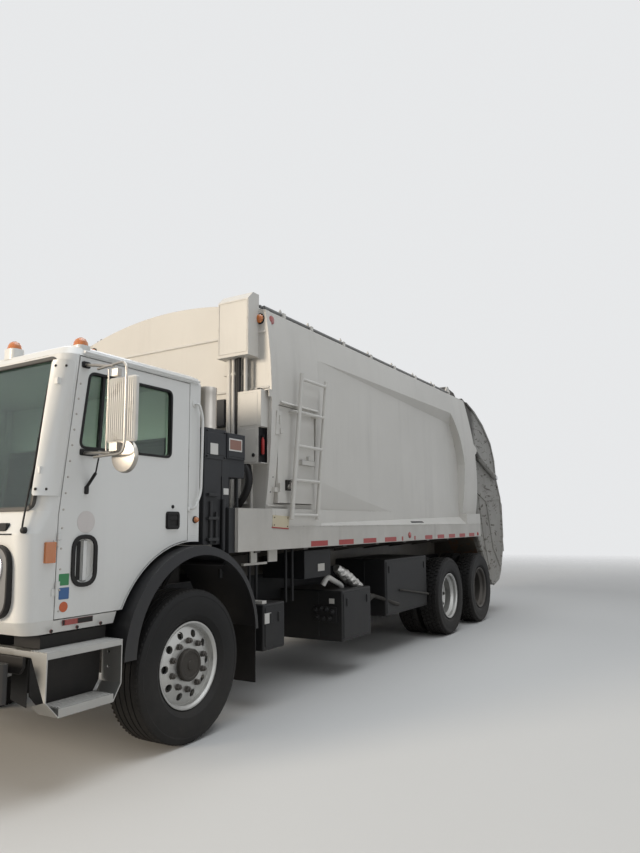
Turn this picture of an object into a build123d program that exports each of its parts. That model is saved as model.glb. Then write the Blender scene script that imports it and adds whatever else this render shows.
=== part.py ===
from build123d import *
import os
from math import atan2, cos, hypot, pi, radians, sin, sqrt

# A rear loading garbage truck with a low forward cab, three axles and a curved steel body.
# Millimetres. The model is laid out with y = 0 at the front axle and z = 0 on the ground,
# front towards -Y, left side towards +X. The export moves it so that its middle is at y = 0.

# Running gear
WHEELBASE = 5300  # front axle to first drive axle
TANDEM_SPACING = 1360
FRONT_OVERHANG = 1470
REAR_OVERHANG = 1770  # last axle to the rearmost grab rail
FRONT_TYRE_RADIUS = 530
FRONT_TYRE_WIDTH = 312
DRIVE_TYRE_RADIUS = 520
DRIVE_TYRE_WIDTH = 280
FRONT_WHEEL_X = 1050  # centre plane of a front tyre
OUTER_TWIN_X = 1075  # centre plane of an outer drive tyre
TWIN_SPACING = 330
BEAD_RADIUS = 284
RIM_HALF_WIDTH = 120
RIM_WALL = 9
KINGPIN_X = 900
KINGPIN_RADIUS = 25
SPINDLE_RADIUS = 35
BRAKE_DRUM_RADIUS = 205

# Chassis frame
RAIL_OUTER_X = 430
RAIL_FLANGE = 80
RAIL_WALL = 10
RAIL_TOP_Z = 1020
RAIL_HEIGHT = 270
RAIL_FRONT_Y = -1200
RAIL_REAR_SETBACK = 240  # last axle to the rail ends

# Cab
CAB_HALF_WIDTH = 1150
CAB_BACK_Y = 95
CAB_WALL = 50
CAB_BOTTOM_Z = 905
CAB_FLOOR_Z = 985
CAB_SHELL_TOP_Z = 2590
CAB_ROOF_Z = 2668
ARCH_Y, ARCH_Z, ARCH_RADIUS = 30, 660, 740  # wheel arch of the cab, seen from the side
FENDER_GAP = 30  # fender crown to cab arch
DOOR_GAP = 6
CAB_TILT_Y, CAB_TILT_Z = -1250, 870
CAB_PIN_RADIUS = 20
CAB_EYE_RADIUS = 30

# Body and tailgate
BODY_HALF_WIDTH = 1219
CAB_TO_BODY = 855
SKIRT_BOTTOM_Z = 1305
SKIRT_HEIGHT = 195
FLOOR_THICK = 30
SIDE_INNER_X = 1030
ROOF_EDGE_Z = 3440
ROOF_RISE = 170
ROOF_THICK = 60
TAILGATE_GAP = 20
TAILGATE_HINGE_Z = ROOF_EDGE_Z + 125
TAILGATE_OUTER_X = 1125
TAILGATE_INNER_X = 1065
HOPPER_RADIUS = 700
HOPPER_PLATE = 30
PACKER_TRAVEL = 650
PACKER_CLEARANCE = 10

# Fits
PIN_CLEARANCE = 0.3
SEAT_GAP = 0.3

# Places that follow from the sizes above
DRIVE_AXLES_Y = (WHEELBASE, WHEELBASE + TANDEM_SPACING)
LAST_AXLE_Y = DRIVE_AXLES_Y[1]
FRONT_HUB_Z = FRONT_TYRE_RADIUS
DRIVE_HUB_Z = DRIVE_TYRE_RADIUS
RAIL_BOTTOM_Z = RAIL_TOP_Z - RAIL_HEIGHT
RAIL_INNER_X = RAIL_OUTER_X - RAIL_WALL
RAIL_END_Y = LAST_AXLE_Y + RAIL_REAR_SETBACK
BODY_FRONT_Y = CAB_BACK_Y + CAB_TO_BODY
TAIL_Y = LAST_AXLE_Y + 120  # top of the hopper slope
BODY_REAR_Y = TAIL_Y - 40
CENTRE_Y = (LAST_AXLE_Y + REAR_OVERHANG - FRONT_OVERHANG) / 2

parts = {}


def block(x, y, z):
    """A box between the two values given along each axis."""
    size = [abs(v[1] - v[0]) for v in (x, y, z)]
    return Pos(min(x), min(y), min(z)) * Box(*size, align=(Align.MIN, Align.MIN, Align.MIN))


def outline(points):
    """A closed face through points in its own plane."""
    return make_face(Polyline(*points, close=True))


def prism_x(face_or_points, x0, x1):
    """A side view outline of (y, z) points or a face, drawn out between two values of x."""
    face = outline(face_or_points) if isinstance(face_or_points, (list, tuple)) else face_or_points
    return Pos(x0, 0, 0) * extrude(Plane.YZ * face, amount=x1 - x0)


def prism_y(face_or_points, y0, y1):
    """A front view outline of (x, z) points or a face, drawn out between two values of y."""
    face = outline(face_or_points) if isinstance(face_or_points, (list, tuple)) else face_or_points
    return Pos(0, y1, 0) * extrude(Plane.XZ * face, amount=y1 - y0)


def prism_z(face_or_points, z0, z1):
    """A plan outline of (x, y) points or a face, drawn out between two values of z."""
    face = outline(face_or_points) if isinstance(face_or_points, (list, tuple)) else face_or_points
    return Pos(0, 0, z0) * extrude(face, amount=z1 - z0)


def rod(start, end, radius):
    """A round bar between two points."""
    start, end = Vector(start), Vector(end)
    axis = Plane(origin=start, z_dir=end - start)
    return axis * Cylinder(radius, (end - start).length, align=(Align.CENTER, Align.CENTER, Align.MIN))


def pipe(points, radius, bend):
    """A bent round bar through points, with one bend radius."""
    path = FilletPolyline(*points, radius=bend)
    start = Plane(origin=path @ 0, z_dir=path % 0)
    return sweep(start * Circle(radius), path=path)


def turned(points, y, z):
    """A section of (x, radius) points turned about the cross axle at (y, z)."""
    return Pos(0, y, z) * revolve(outline(points), Axis.X)


def tail(*points):
    """Side view points given from the top of the hopper slope."""
    return [(TAIL_Y + y, z) for y, z in points]


def both_sides(shape):
    return shape + mirror(shape, about=Plane.YZ)


def right_of(shape):
    return mirror(shape, about=Plane.YZ)


def rim_section(x, disc):
    """Section of a rim about x = 0 with its disc: disc holds (x, radius) points back to the rim."""
    half, seat, wall = RIM_HALF_WIDTH, BEAD_RADIUS, RIM_WALL
    flange = seat + 18
    outer = [(-half, flange), (-half + 9, flange), (-half + 11, seat), (-62, seat - 4), (-45, seat - 32),
             (35, seat - 32), (60, seat - 4), (half - 11, seat), (half - 9, flange), (half, flange)]
    inner = [(half, seat + 6), (half - 14, seat - wall), (72, seat - 13)]
    inner += disc
    inner += [(-45, seat - 41), (-68, seat - 13), (-half + 14, seat - wall), (-half, seat + 6)]
    return [(x + px, radius) for px, radius in outer + inner]


def tyre_section(x, radius, width):
    bead, half = BEAD_RADIUS + SEAT_GAP, width / 2
    rim_side = RIM_HALF_WIDTH - 11 - SEAT_GAP
    side = [(rim_side, bead), (rim_side, bead + 20), (half * 0.85, bead + 42), (half, (bead + radius) / 2),
            (half * 0.97, radius - 45), (half * 0.84, radius - 8), (half * 0.74, radius)]
    return [(x + px, r) for px, r in side] + [(x - px, r) for px, r in reversed(side)]


# Chassis frame: two channel rails, cross members and the hoop that carries the back of the cab

CROSS_MEMBERS_Y = (RAIL_FRONT_Y + 100, BODY_FRONT_Y, WHEELBASE / 2 - 50, WHEELBASE - 1000,
                   sum(DRIVE_AXLES_Y) / 2, RAIL_END_Y - 60)
CAB_REST_Y = (-30, 60)
CAB_REST_Z = ARCH_Z + sqrt(ARCH_RADIUS**2 - (ARCH_Y - CAB_REST_Y[0])**2)


def make_frame():
    web = block((RAIL_INNER_X, RAIL_OUTER_X), (RAIL_FRONT_Y, RAIL_END_Y), (RAIL_BOTTOM_Z, RAIL_TOP_Z))
    flange_x = (RAIL_OUTER_X - RAIL_FLANGE, RAIL_OUTER_X)
    rail = web
    for z0 in (RAIL_BOTTOM_Z, RAIL_TOP_Z - RAIL_WALL):
        rail += block(flange_x, (RAIL_FRONT_Y, RAIL_END_Y), (z0, z0 + RAIL_WALL))
    frame = both_sides(rail)
    for y in CROSS_MEMBERS_Y:
        frame += block((-RAIL_INNER_X, RAIL_INNER_X), (y - 40, y + 40), (RAIL_BOTTOM_Z + 70, RAIL_TOP_Z - 60))
    post = block((RAIL_OUTER_X - 60, RAIL_OUTER_X), CAB_REST_Y, (RAIL_TOP_Z, CAB_REST_Z - SEAT_GAP))
    bar = block((-RAIL_OUTER_X, RAIL_OUTER_X), CAB_REST_Y, (CAB_REST_Z - 70, CAB_REST_Z - SEAT_GAP))
    frame += both_sides(post) + bar
    # Lugs and pins on which the cab tilts
    lug_x = (RAIL_OUTER_X, RAIL_OUTER_X + 20)
    lug = block(lug_x, (CAB_TILT_Y - 20, RAIL_FRONT_Y + 100), (CAB_TILT_Z - 60, CAB_TILT_Z))
    lug += rod((lug_x[0], CAB_TILT_Y, CAB_TILT_Z), (lug_x[1], CAB_TILT_Y, CAB_TILT_Z), CAB_EYE_RADIUS)
    lug += rod((lug_x[0], CAB_TILT_Y, CAB_TILT_Z), (lug_x[1] + 60, CAB_TILT_Y, CAB_TILT_Z), CAB_PIN_RADIUS)
    return frame + both_sides(lug)


TOW_BORE_RADIUS = 25
TOW_EYE_RADIUS = 50
TOW_EYE_WIDTH = 40
TOW_EYE_Z = RAIL_TOP_Z - 190
TOW_EYE_REACH = 240  # behind the last cross member
TOW_PLATE_Z = (RAIL_BOTTOM_Z + 75, RAIL_TOP_Z - 65)


def make_tow_eye():
    """A flat eye on a base plate, bolted to the last cross member and held by a gusset."""
    face, z, half = CROSS_MEMBERS_Y[-1] + 40 + SEAT_GAP, TOW_EYE_Z, TOW_EYE_WIDTH / 2
    y = face + TOW_EYE_REACH
    eye = block((-90, 90), (face, face + 20), TOW_PLATE_Z)
    gusset = [(face, TOW_PLATE_Z[0]), (y, z - TOW_EYE_RADIUS), (y, z + TOW_EYE_RADIUS), (face, TOW_PLATE_Z[1])]
    eye += prism_x(gusset, -half, half)
    eye += rod((-half, y, z), (half, y, z), TOW_EYE_RADIUS)
    return eye - rod((-half - 10, y, z), (half + 10, y, z), TOW_BORE_RADIUS)


BUMPER_Z = (560, 775)
BUMPER_HALF = 1090
BUMPER_DEPTH = 90
BUMPER_BEND = (90, 60)  # where its ends turn back: inwards and rearwards


def make_bumper():
    front, back = -FRONT_OVERHANG, -FRONT_OVERHANG + BUMPER_DEPTH
    flat, turn = BUMPER_HALF - BUMPER_BEND[0], front + BUMPER_BEND[1]
    bumper = prism_z([(-BUMPER_HALF, back), (-BUMPER_HALF, turn), (-flat, front), (flat, front),
                      (BUMPER_HALF, turn), (BUMPER_HALF, back)], *BUMPER_Z)
    bumper = fillet(bumper.edges().filter_by(Axis.Z), 18)
    arm_x = (RAIL_OUTER_X + SEAT_GAP, RAIL_OUTER_X + 20)
    arm = block(arm_x, (back - 20, RAIL_FRONT_Y + 160), (BUMPER_Z[0] + 60, RAIL_BOTTOM_Z))
    return bumper + both_sides(arm)


ENGINE_X, ENGINE_Y, ENGINE_Z = 320, (-500, 800), (620, 1180)


def make_engine():
    """One plain block, held by four mounts on the rails."""
    engine = block((-ENGINE_X, ENGINE_X), ENGINE_Y, ENGINE_Z)
    for y in (ENGINE_Y[0] + 150, ENGINE_Y[1] - 150):
        engine += block((-RAIL_INNER_X + SEAT_GAP, RAIL_INNER_X - SEAT_GAP), (y - 50, y + 50),
                        (RAIL_BOTTOM_Z + 120, RAIL_BOTTOM_Z + 160))
    return engine


# Front axle, springs and steering knuckles

BEAM_HALF_DEPTH = 45
KINGPIN_BOSS_RADIUS = 60
KINGPIN_BOSS_HALF = 60
SPRING_X = (RAIL_OUTER_X - RAIL_FLANGE, RAIL_OUTER_X)
SPRING_HALF_LENGTH = 700


def make_front_axle():
    z = FRONT_HUB_Z
    beam = prism_y([(-850, z - 45), (-640, z - 45), (-520, z - 130), (520, z - 130), (640, z - 45), (850, z - 45),
                    (850, z + 45), (600, z + 45), (480, z - 40), (-480, z - 40), (-600, z + 45), (-850, z + 45)],
                   -BEAM_HALF_DEPTH, BEAM_HALF_DEPTH)
    boss = rod((KINGPIN_X, 0, z - KINGPIN_BOSS_HALF), (KINGPIN_X, 0, z + KINGPIN_BOSS_HALF), KINGPIN_BOSS_RADIUS)
    bore = rod((KINGPIN_X, 0, z - 100), (KINGPIN_X, 0, z + 100), KINGPIN_RADIUS + PIN_CLEARANCE)
    eye_z = RAIL_BOTTOM_Z - 40
    leaf_top = ThreePointArc((-SPRING_HALF_LENGTH, eye_z), (0, z + 90), (SPRING_HALF_LENGTH, eye_z))
    leaf_low = ThreePointArc((SPRING_HALF_LENGTH, eye_z - 20), (0, z + 30), (-SPRING_HALF_LENGTH, eye_z - 20))
    ends = [Line(leaf_top @ 1, leaf_low @ 0), Line(leaf_low @ 1, leaf_top @ 0)]
    leaf = prism_x(make_face([leaf_top, leaf_low] + ends), *SPRING_X)
    seat = block(SPRING_X, (-80, 80), (z - 60, z + 60))
    hangers = None
    for y in (-SPRING_HALF_LENGTH, SPRING_HALF_LENGTH):
        hanger = block(SPRING_X, (y - 45, y + 45), (eye_z - 30, RAIL_BOTTOM_Z - SEAT_GAP))
        hangers = hanger if hangers is None else hangers + hanger
    side = boss + leaf + seat + hangers
    return beam + both_sides(side) - both_sides(bore)


def make_knuckle():
    """Left knuckle: kingpin, two arms, their web and the wheel spindle."""
    z = FRONT_HUB_Z
    arm_z = KINGPIN_BOSS_HALF + 6
    knuckle = rod((KINGPIN_X, 0, z - arm_z - 20), (KINGPIN_X, 0, z + arm_z + 20), KINGPIN_RADIUS)
    for z0 in (z - arm_z - 20, z + arm_z):
        knuckle += block((KINGPIN_X - 35, KINGPIN_X + 90), (-50, 50), (z0, z0 + 20))
    web_x = KINGPIN_X + KINGPIN_BOSS_RADIUS + 6
    knuckle += block((web_x, KINGPIN_X + 90), (-55, 55), (z - arm_z - 20, z + arm_z + 20))
    return knuckle + rod((web_x, 0, z), (FRONT_WHEEL_X + 100, 0, z), SPINDLE_RADIUS)


# Wheels

HAND_HOLES = 10
HAND_HOLE_RADIUS = 27


def hand_holes(x0, x1, circle, y, z):
    cutters = None
    for i in range(HAND_HOLES):
        turn = 2 * pi * i / HAND_HOLES
        at = (y + circle * cos(turn), z + circle * sin(turn))
        cutter = rod((x0, *at), (x1, *at), HAND_HOLE_RADIUS)
        cutters = cutter if cutters is None else cutters + cutter
    return cutters


def make_front_wheel():
    x = FRONT_WHEEL_X
    disc = [(88, 215), (96, 185), (96, 60), (76, 60), (76, 185), (66, 222), (47, BEAD_RADIUS - 41)]
    wheel = turned(rim_section(x, disc), 0, FRONT_HUB_Z)
    wheel -= hand_holes(x, x + 150, 218, 0, FRONT_HUB_Z)
    bore = SPINDLE_RADIUS + PIN_CLEARANCE
    drum = BRAKE_DRUM_RADIUS
    hub = [(x - 110, drum - 10), (x - 110, drum), (x + 40, drum), (x + 40, 95), (x + 76, 95), (x + 76, 70),
           (x + 125, 62), (x + 125, 0), (x + 105, 0), (x + 105, bore), (x - 45, bore), (x - 45, 60), (x + 28, 60),
           (x + 28, drum - 10)]
    return wheel + turned(hub, 0, FRONT_HUB_Z)


def make_front_tyre():
    return turned(tyre_section(FRONT_WHEEL_X, FRONT_TYRE_RADIUS, FRONT_TYRE_WIDTH), 0, FRONT_HUB_Z)


AXLE_SPINDLE_RADIUS = 60
TWIN_MIDDLE_X = OUTER_TWIN_X - TWIN_SPACING / 2


def make_drive_wheels(y):
    """A twin pair: two rims bolted back to back on one hub and drum."""
    z, mid = DRIVE_HUB_Z, TWIN_MIDDLE_X
    offset = TWIN_SPACING / 2
    disc = [(40, BEAD_RADIUS - 41), (-40, BEAD_RADIUS - 41), (-125, 195), (-offset + 20, 170), (-offset + 20, 100),
            (-offset, 100), (-offset, 175), (-130, 212), (-60, BEAD_RADIUS - 41)]
    outer = turned(rim_section(OUTER_TWIN_X, disc), y, z)
    inner = Pos(2 * mid, 0, 0) * mirror(outer, about=Plane.YZ)
    pair = outer + inner - hand_holes(mid - 150, mid + 150, 215, y, z)
    bore, drum = AXLE_SPINDLE_RADIUS + PIN_CLEARANCE, BRAKE_DRUM_RADIUS
    hub = [(mid - 240, drum - 10), (mid - 240, drum), (mid - 60, drum), (mid - 60, 130), (mid + 30, 130),
           (mid + 90, 105), (mid + 130, 105), (mid + 130, 0), (mid + 110, 0), (mid + 110, bore), (mid - 150, bore),
           (mid - 150, 90), (mid - 75, 90), (mid - 75, drum - 10)]
    return pair + turned(hub, y, z)


def make_drive_tyres(y):
    inner_x = OUTER_TWIN_X - TWIN_SPACING
    tyres = [turned(tyre_section(x, DRIVE_TYRE_RADIUS, DRIVE_TYRE_WIDTH), y, DRIVE_HUB_Z)
             for x in (OUTER_TWIN_X, inner_x)]
    return tyres[0] + tyres[1]


# Drive axles: housings, walking beams with their saddle, and the prop shafts

HOUSING_RADIUS = 75
WALKING_BEAM_X = (440, 520)
SHAFT_RADIUS = 50


def make_drive_axles():
    z = DRIVE_HUB_Z
    tip = TWIN_MIDDLE_X + 100
    shapes = None
    for y in DRIVE_AXLES_Y:
        bowl = [(-430, 0), (-430, HOUSING_RADIUS), (-220, HOUSING_RADIUS), (-130, 190), (130, 190),
                (220, HOUSING_RADIUS), (430, HOUSING_RADIUS), (430, 0)]
        axle = turned(bowl, y, z)
        arm = [(420, 0), (420, HOUSING_RADIUS), (620, HOUSING_RADIUS), (620, AXLE_SPINDLE_RADIUS),
               (tip, AXLE_SPINDLE_RADIUS), (tip, 0)]
        axle += both_sides(turned(arm, y, z))
        shapes = axle if shapes is None else shapes + axle
    front, rear = DRIVE_AXLES_Y
    mid = (front + rear) / 2
    beam = prism_x([(front - 60, z - 120), (mid - 150, z - 160), (mid + 150, z - 160), (rear + 60, z - 120),
                    (rear + 60, z - 40), (mid + 150, z + 20), (mid - 150, z + 20), (front - 60, z - 40)],
                   *WALKING_BEAM_X)
    saddle = prism_x([(mid - 90, z - 60), (mid + 90, z - 60), (mid + 200, RAIL_TOP_Z - 60),
                      (mid - 200, RAIL_TOP_Z - 60)], RAIL_OUTER_X + SEAT_GAP, WALKING_BEAM_X[0] + 30)
    shapes += both_sides(beam + saddle)
    shapes += rod((0, front + 150, z + 60), (0, rear - 150, z + 60), SHAFT_RADIUS)
    shapes += rod((0, ENGINE_Y[1] + 3, ENGINE_Z[0] + 110), (0, front - 150, z + 60), SHAFT_RADIUS)
    return shapes


# Fenders over the front wheels

FENDER_Z = 660
FENDER_RADIUS = 710
FENDER_INNER_X = 620
FENDER_OUTER_X = 1235
FENDER_SKIN = 12
FENDER_LIP = 68
FENDER_LIP_SHIFT = 35  # the lip is this much wider at its front end
FENDER_FRONT_Z = 671
FENDER_BACK_Z = 690
FENDER_BRACKET_ANGLE = 35  # behind the crown, degrees
FENDER_TUBE = 18


def make_fender():
    """Left fender: a rolled sheet with a wide lip on its outer edge and a bracket to the rail."""
    centre = (ARCH_Y, FENDER_Z)
    sheet = Pos(*centre) * (Circle(FENDER_RADIUS) - Circle(FENDER_RADIUS - FENDER_SKIN))
    lip = Pos(*centre) * (Circle(FENDER_RADIUS) - Pos(FENDER_LIP_SHIFT, 0) * Circle(FENDER_RADIUS - FENDER_LIP))
    fender = prism_x(sheet, FENDER_INNER_X, FENDER_OUTER_X)
    fender += prism_x(lip, FENDER_OUTER_X - FENDER_SKIN, FENDER_OUTER_X)
    reach = FENDER_RADIUS + 50
    ahead, behind, ground = ARCH_Y - reach, ARCH_Y + reach, FENDER_Z - reach
    below = [(ahead, FENDER_FRONT_Z), (ARCH_Y, FENDER_FRONT_Z), (ARCH_Y, FENDER_BACK_Z), (behind, FENDER_BACK_Z),
             (behind, ground), (ahead, ground)]
    fender -= prism_x(below, FENDER_INNER_X - 10, FENDER_OUTER_X + 10)
    bracket = FENDER_RADIUS - FENDER_SKIN - 14
    bracket_y = ARCH_Y + bracket * sin(radians(FENDER_BRACKET_ANGLE))
    bracket_z = FENDER_Z + bracket * cos(radians(FENDER_BRACKET_ANGLE))
    fender += rod((FENDER_INNER_X, bracket_y, bracket_z), (RAIL_OUTER_X + 25, bracket_y, RAIL_TOP_Z - 60),
                  FENDER_TUBE)
    fender += rod((FENDER_INNER_X - 20, bracket_y, bracket_z), (FENDER_OUTER_X - 100, bracket_y, bracket_z),
                  FENDER_TUBE)
    foot = block((RAIL_OUTER_X + SEAT_GAP, RAIL_OUTER_X + 40), (bracket_y - 50, bracket_y + 50),
                 (RAIL_TOP_Z - 130, RAIL_TOP_Z - 20))
    return fender + foot


# Steps below the cab doors

STEP_OUTER_X = 1225
STEP_INNER_X = 1050
STEP_SHELF = 120  # how far the top tread reaches in under the cab
STEP_TOP_Z = 815
STEP_LOW_Z = 500
STEP_Y = (-1245, -690)
LOW_STEP_Y = (STEP_Y[0] + 93, STEP_Y[1] - 62)
STEP_BEND_Z = 550  # where the end plates turn towards the low tread
STEP_PLATE = 8
TREAD = (35, 50)  # depth of the top and of the low tread


def make_steps():
    """Two treads between bent end plates, hung from arms on the rails."""
    (y0, y1), (low0, low1), plate = STEP_Y, LOW_STEP_Y, STEP_PLATE
    top = block((STEP_INNER_X - STEP_SHELF, STEP_OUTER_X), STEP_Y, (STEP_TOP_Z - TREAD[0], STEP_TOP_Z))
    low = block((STEP_INNER_X, STEP_OUTER_X), LOW_STEP_Y, (STEP_LOW_Z - TREAD[1], STEP_LOW_Z))
    foot = STEP_LOW_Z - TREAD[1]
    front = prism_x([(y0, STEP_TOP_Z - 5), (y0, STEP_BEND_Z), (low0, foot), (low0 + plate, foot),
                     (y0 + plate, STEP_BEND_Z), (y0 + plate, STEP_TOP_Z - 5)], STEP_INNER_X, STEP_OUTER_X)
    # The front plate is cut away on its inner side, down to a narrow waist
    front -= prism_y([(STEP_INNER_X - 10, STEP_TOP_Z - TREAD[0]), (STEP_INNER_X + 40, STEP_TOP_Z - TREAD[0]),
                      (STEP_OUTER_X - 12, STEP_BEND_Z), (STEP_INNER_X - 10, STEP_LOW_Z)], y0 - 10, low0 + 20)
    back = prism_x([(y1, STEP_TOP_Z - 5), (y1, STEP_BEND_Z), (low1, foot), (low1 - plate, foot),
                    (y1 - plate, STEP_BEND_Z), (y1 - plate, STEP_TOP_Z - 5)], STEP_INNER_X, STEP_OUTER_X)
    for y, z in ((y1 - 4, 730), (y1 - 4, 640)):
        back -= rod((STEP_INNER_X + 60, y - 20, z), (STEP_INNER_X + 60, y + 20, z), 10)
    step = top + low + front + back
    arm_x, arm_z = (RAIL_OUTER_X + SEAT_GAP, STEP_INNER_X - 100), (STEP_TOP_Z - 45, STEP_TOP_Z - 5)
    for y in (y0 + 60, y1 - 90):
        step += block(arm_x, (y - 25, y + 25), arm_z)
    return both_sides(step)


# Exhaust and intake tower between the cab and the body

STACK_X, STACK_Y = 1080, 255
STACK_RADIUS = 72
STACK_Z = (2260, 2600)
STACK_SLOTS = 12
TOWER_INNER_X, TOWER_OUTER_X = 900, 1150
# Boxes of the tower: y range, z range, how far its outer face is set back
TOWER_BOXES = (
    ((150, 358), (1370, 2260), 0),
    ((350, 660), (1900, 2090), 0),
    ((350, 480), (1560, 1910), 30),
    ((350, 440), (1400, 1570), 60),
)


def make_exhaust_stack():
    """A tower of boxes on an arm from the rail, with a slotted guard round the pipe on top of it."""
    tower = None
    for y, z, back in TOWER_BOXES:
        piece = block((TOWER_INNER_X, TOWER_OUTER_X - back), y, z)
        piece = fillet(piece.edges().filter_by(Axis.Z), 12)
        tower = piece if tower is None else tower + piece
    guard = rod((STACK_X, STACK_Y, STACK_Z[0] - 1), (STACK_X, STACK_Y, STACK_Z[1]), STACK_RADIUS)
    for i in range(STACK_SLOTS):
        turn = 2 * pi * i / STACK_SLOTS
        at = (STACK_X + STACK_RADIUS * cos(turn), STACK_Y + STACK_RADIUS * sin(turn))
        guard -= rod((*at, STACK_Z[0] + 60), (*at, STACK_Z[1] - 40), 7)
    foot_y, foot_z = (STACK_Y - 60, STACK_Y + 60), TOWER_BOXES[0][1][0]
    post = block((RAIL_OUTER_X + SEAT_GAP, RAIL_OUTER_X + 60), foot_y, (RAIL_BOTTOM_Z + 60, foot_z + 60))
    arm = block((RAIL_OUTER_X + SEAT_GAP, TOWER_INNER_X + 10), foot_y, (foot_z, foot_z + 60))
    return tower + guard + post + arm


# Boxes and tanks on the outside of the rails: side, y range, z range, outer x

SIDE_BOXES = (
    (1, (870, 1190), (480, 860), 1190),
    (1, (2240, 2880), (350, 850), 1180),
    (1, (WHEELBASE - 1870, WHEELBASE - 600), (450, 1100), 1100),
    (-1, (900, 1500), (420, 860), 1150),
    (-1, (WHEELBASE - 1870, WHEELBASE - 600), (450, 1100), 1100),
)
BOX_CORNER = 15
TANK_RADIUS = 300
TANK_Y = (1750, 3250)


def make_side_boxes():
    boxes = None
    for side, y, z, outer in SIDE_BOXES:
        box = block((RAIL_OUTER_X + SEAT_GAP, outer), y, z)
        box = fillet(box.edges(), BOX_CORNER)
        box = box if side > 0 else right_of(box)
        boxes = box if boxes is None else boxes + box
    x = -(RAIL_OUTER_X + TANK_RADIUS + 20)
    tank = rod((x, TANK_Y[0], 680), (x, TANK_Y[1], 680), TANK_RADIUS)
    bracket_x = (-RAIL_OUTER_X - SEAT_GAP, -RAIL_OUTER_X - 200)
    for y in (TANK_Y[0] + 250, TANK_Y[1] - 250):
        tank += block(bracket_x, (y - 40, y + 40), (RAIL_BOTTOM_Z, RAIL_TOP_Z - 40))
    return boxes + tank


# Cab shell. Each row is one level of the outside: height, front y, back y, half width, corner radius

CAB_SECTIONS = (
    (CAB_BOTTOM_Z, -1300, CAB_BACK_Y, CAB_HALF_WIDTH - 30, 90),
    (CAB_FLOOR_Z, -1362, CAB_BACK_Y, CAB_HALF_WIDTH, 100),
    (1480, -1375, CAB_BACK_Y, CAB_HALF_WIDTH, 110),
    (1610, -1300, CAB_BACK_Y, CAB_HALF_WIDTH, 110),
    (CAB_SHELL_TOP_Z, -1135, CAB_BACK_Y, CAB_HALF_WIDTH, 110),
    (2640, -1100, CAB_BACK_Y - 12, CAB_HALF_WIDTH - 22, 100),
    (CAB_ROOF_Z, -1040, CAB_BACK_Y - 50, CAB_HALF_WIDTH - 80, 80),
)
DOOR_FRONT = ((-1150, 985), (-1150, 1580), (-1040, 2580))
DOOR_BACK_Y = -30
WINDSHIELD_Z = (1625, 2560)
WINDSHIELD_X = (30, 1090, 1045)  # middle post, outer edge at the foot and at the top
WINDSHIELD_CORNERS = (60, 45)
DOOR_WINDOW_Y = (-1020, -962, -218)  # front edge at the foot and at the top, rear edge
DOOR_WINDOW_Z = (2005, 2488)
WINDOW_CORNER = 45
GLASS = 6


def plan_section(z, front, back, half, corner):
    """A plan of the cab at one height, rounded at its two front corners."""
    slant = corner * (1 - sqrt(0.5))
    right = ThreePointArc((-half, front + corner), (-half + slant, front + slant), (-half + corner, front))
    left = ThreePointArc((half - corner, front), (half - slant, front + slant), (half, front + corner))
    lines = [Line(right @ 1, left @ 0), Line(left @ 1, (half, back)), Line((half, back), (-half, back)),
             Line((-half, back), right @ 0)]
    return Pos(0, 0, z) * make_face([right, left] + lines)


def cab_outside():
    return loft([plan_section(*row) for row in CAB_SECTIONS], ruled=True)


def cab_inside():
    """The hollow of the cab, one wall in from the outside, above its floor and wheel arches."""
    wall = CAB_WALL
    rows = []
    for z, front, back, half, corner in CAB_SECTIONS[1:5]:
        rows.append((z, front + wall, back - wall, CAB_HALF_WIDTH - wall - 5, corner - wall + 10))
    hollow = loft([plan_section(*row) for row in rows], ruled=True)
    arch = prism_x(Pos(ARCH_Y, ARCH_Z) * Circle(ARCH_RADIUS + 40), -CAB_HALF_WIDTH, CAB_HALF_WIDTH)
    low = block((-1200, 1200), (-1400, 200), (CAB_FLOOR_Z - 10, CAB_FLOOR_Z + CAB_WALL))
    back_low = block((-1200, 1200), (ARCH_Y, 200), (CAB_FLOOR_Z - 10, ARCH_Z + ARCH_RADIUS + 40))
    return hollow - arch - low - back_low


def wheel_arch():
    """What the wheel arches and the short sill leave out of the cab's underside."""
    arch = prism_x(Pos(ARCH_Y, ARCH_Z) * Circle(ARCH_RADIUS), -1300, 1300)
    under = block((-1300, 1300), (-680, 300), (CAB_BOTTOM_Z - 10, CAB_FLOOR_Z))
    behind = block((-1300, 1300), (ARCH_Y, 300), (CAB_FLOOR_Z - 10, ARCH_Z + sqrt(ARCH_RADIUS**2 - 65**2)))
    return arch + under + behind


def door_face(grow):
    """The left door's side view outline, moved outwards by grow."""
    (y0, z0), (y1, z1), (y2, z2) = DOOR_FRONT
    radius = ARCH_RADIUS + 12 - grow
    back, low = DOOR_BACK_Y + grow, z0 - grow
    back_z = ARCH_Z + sqrt(radius**2 - (back - ARCH_Y)**2)
    low_y = ARCH_Y - sqrt(radius**2 - (low - ARCH_Z)**2)
    mid_turn = (atan2(low - ARCH_Z, low_y - ARCH_Y) + atan2(back_z - ARCH_Z, back - ARCH_Y)) / 2
    mid = (ARCH_Y + radius * cos(mid_turn), ARCH_Z + radius * sin(mid_turn))
    arc = ThreePointArc((low_y, low), mid, (back, back_z))
    lines = Polyline((back, back_z), (back, z2 + grow), (y2 - grow, z2 + grow), (y1 - grow, z1), (y0 - grow, low),
                     (low_y, low))
    return make_face([arc, *lines.edges()])


def window_face(grow):
    """The left door's window in side view, moved outwards by grow."""
    (foot, top, back), (z0, z1) = DOOR_WINDOW_Y, DOOR_WINDOW_Z
    pane = outline([(foot - grow, z0 - grow), (back + grow, z0 - grow), (back + grow, z1 + grow),
                    (top - grow, z1 + grow)])
    return fillet(pane.vertices(), WINDOW_CORNER + grow)


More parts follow.
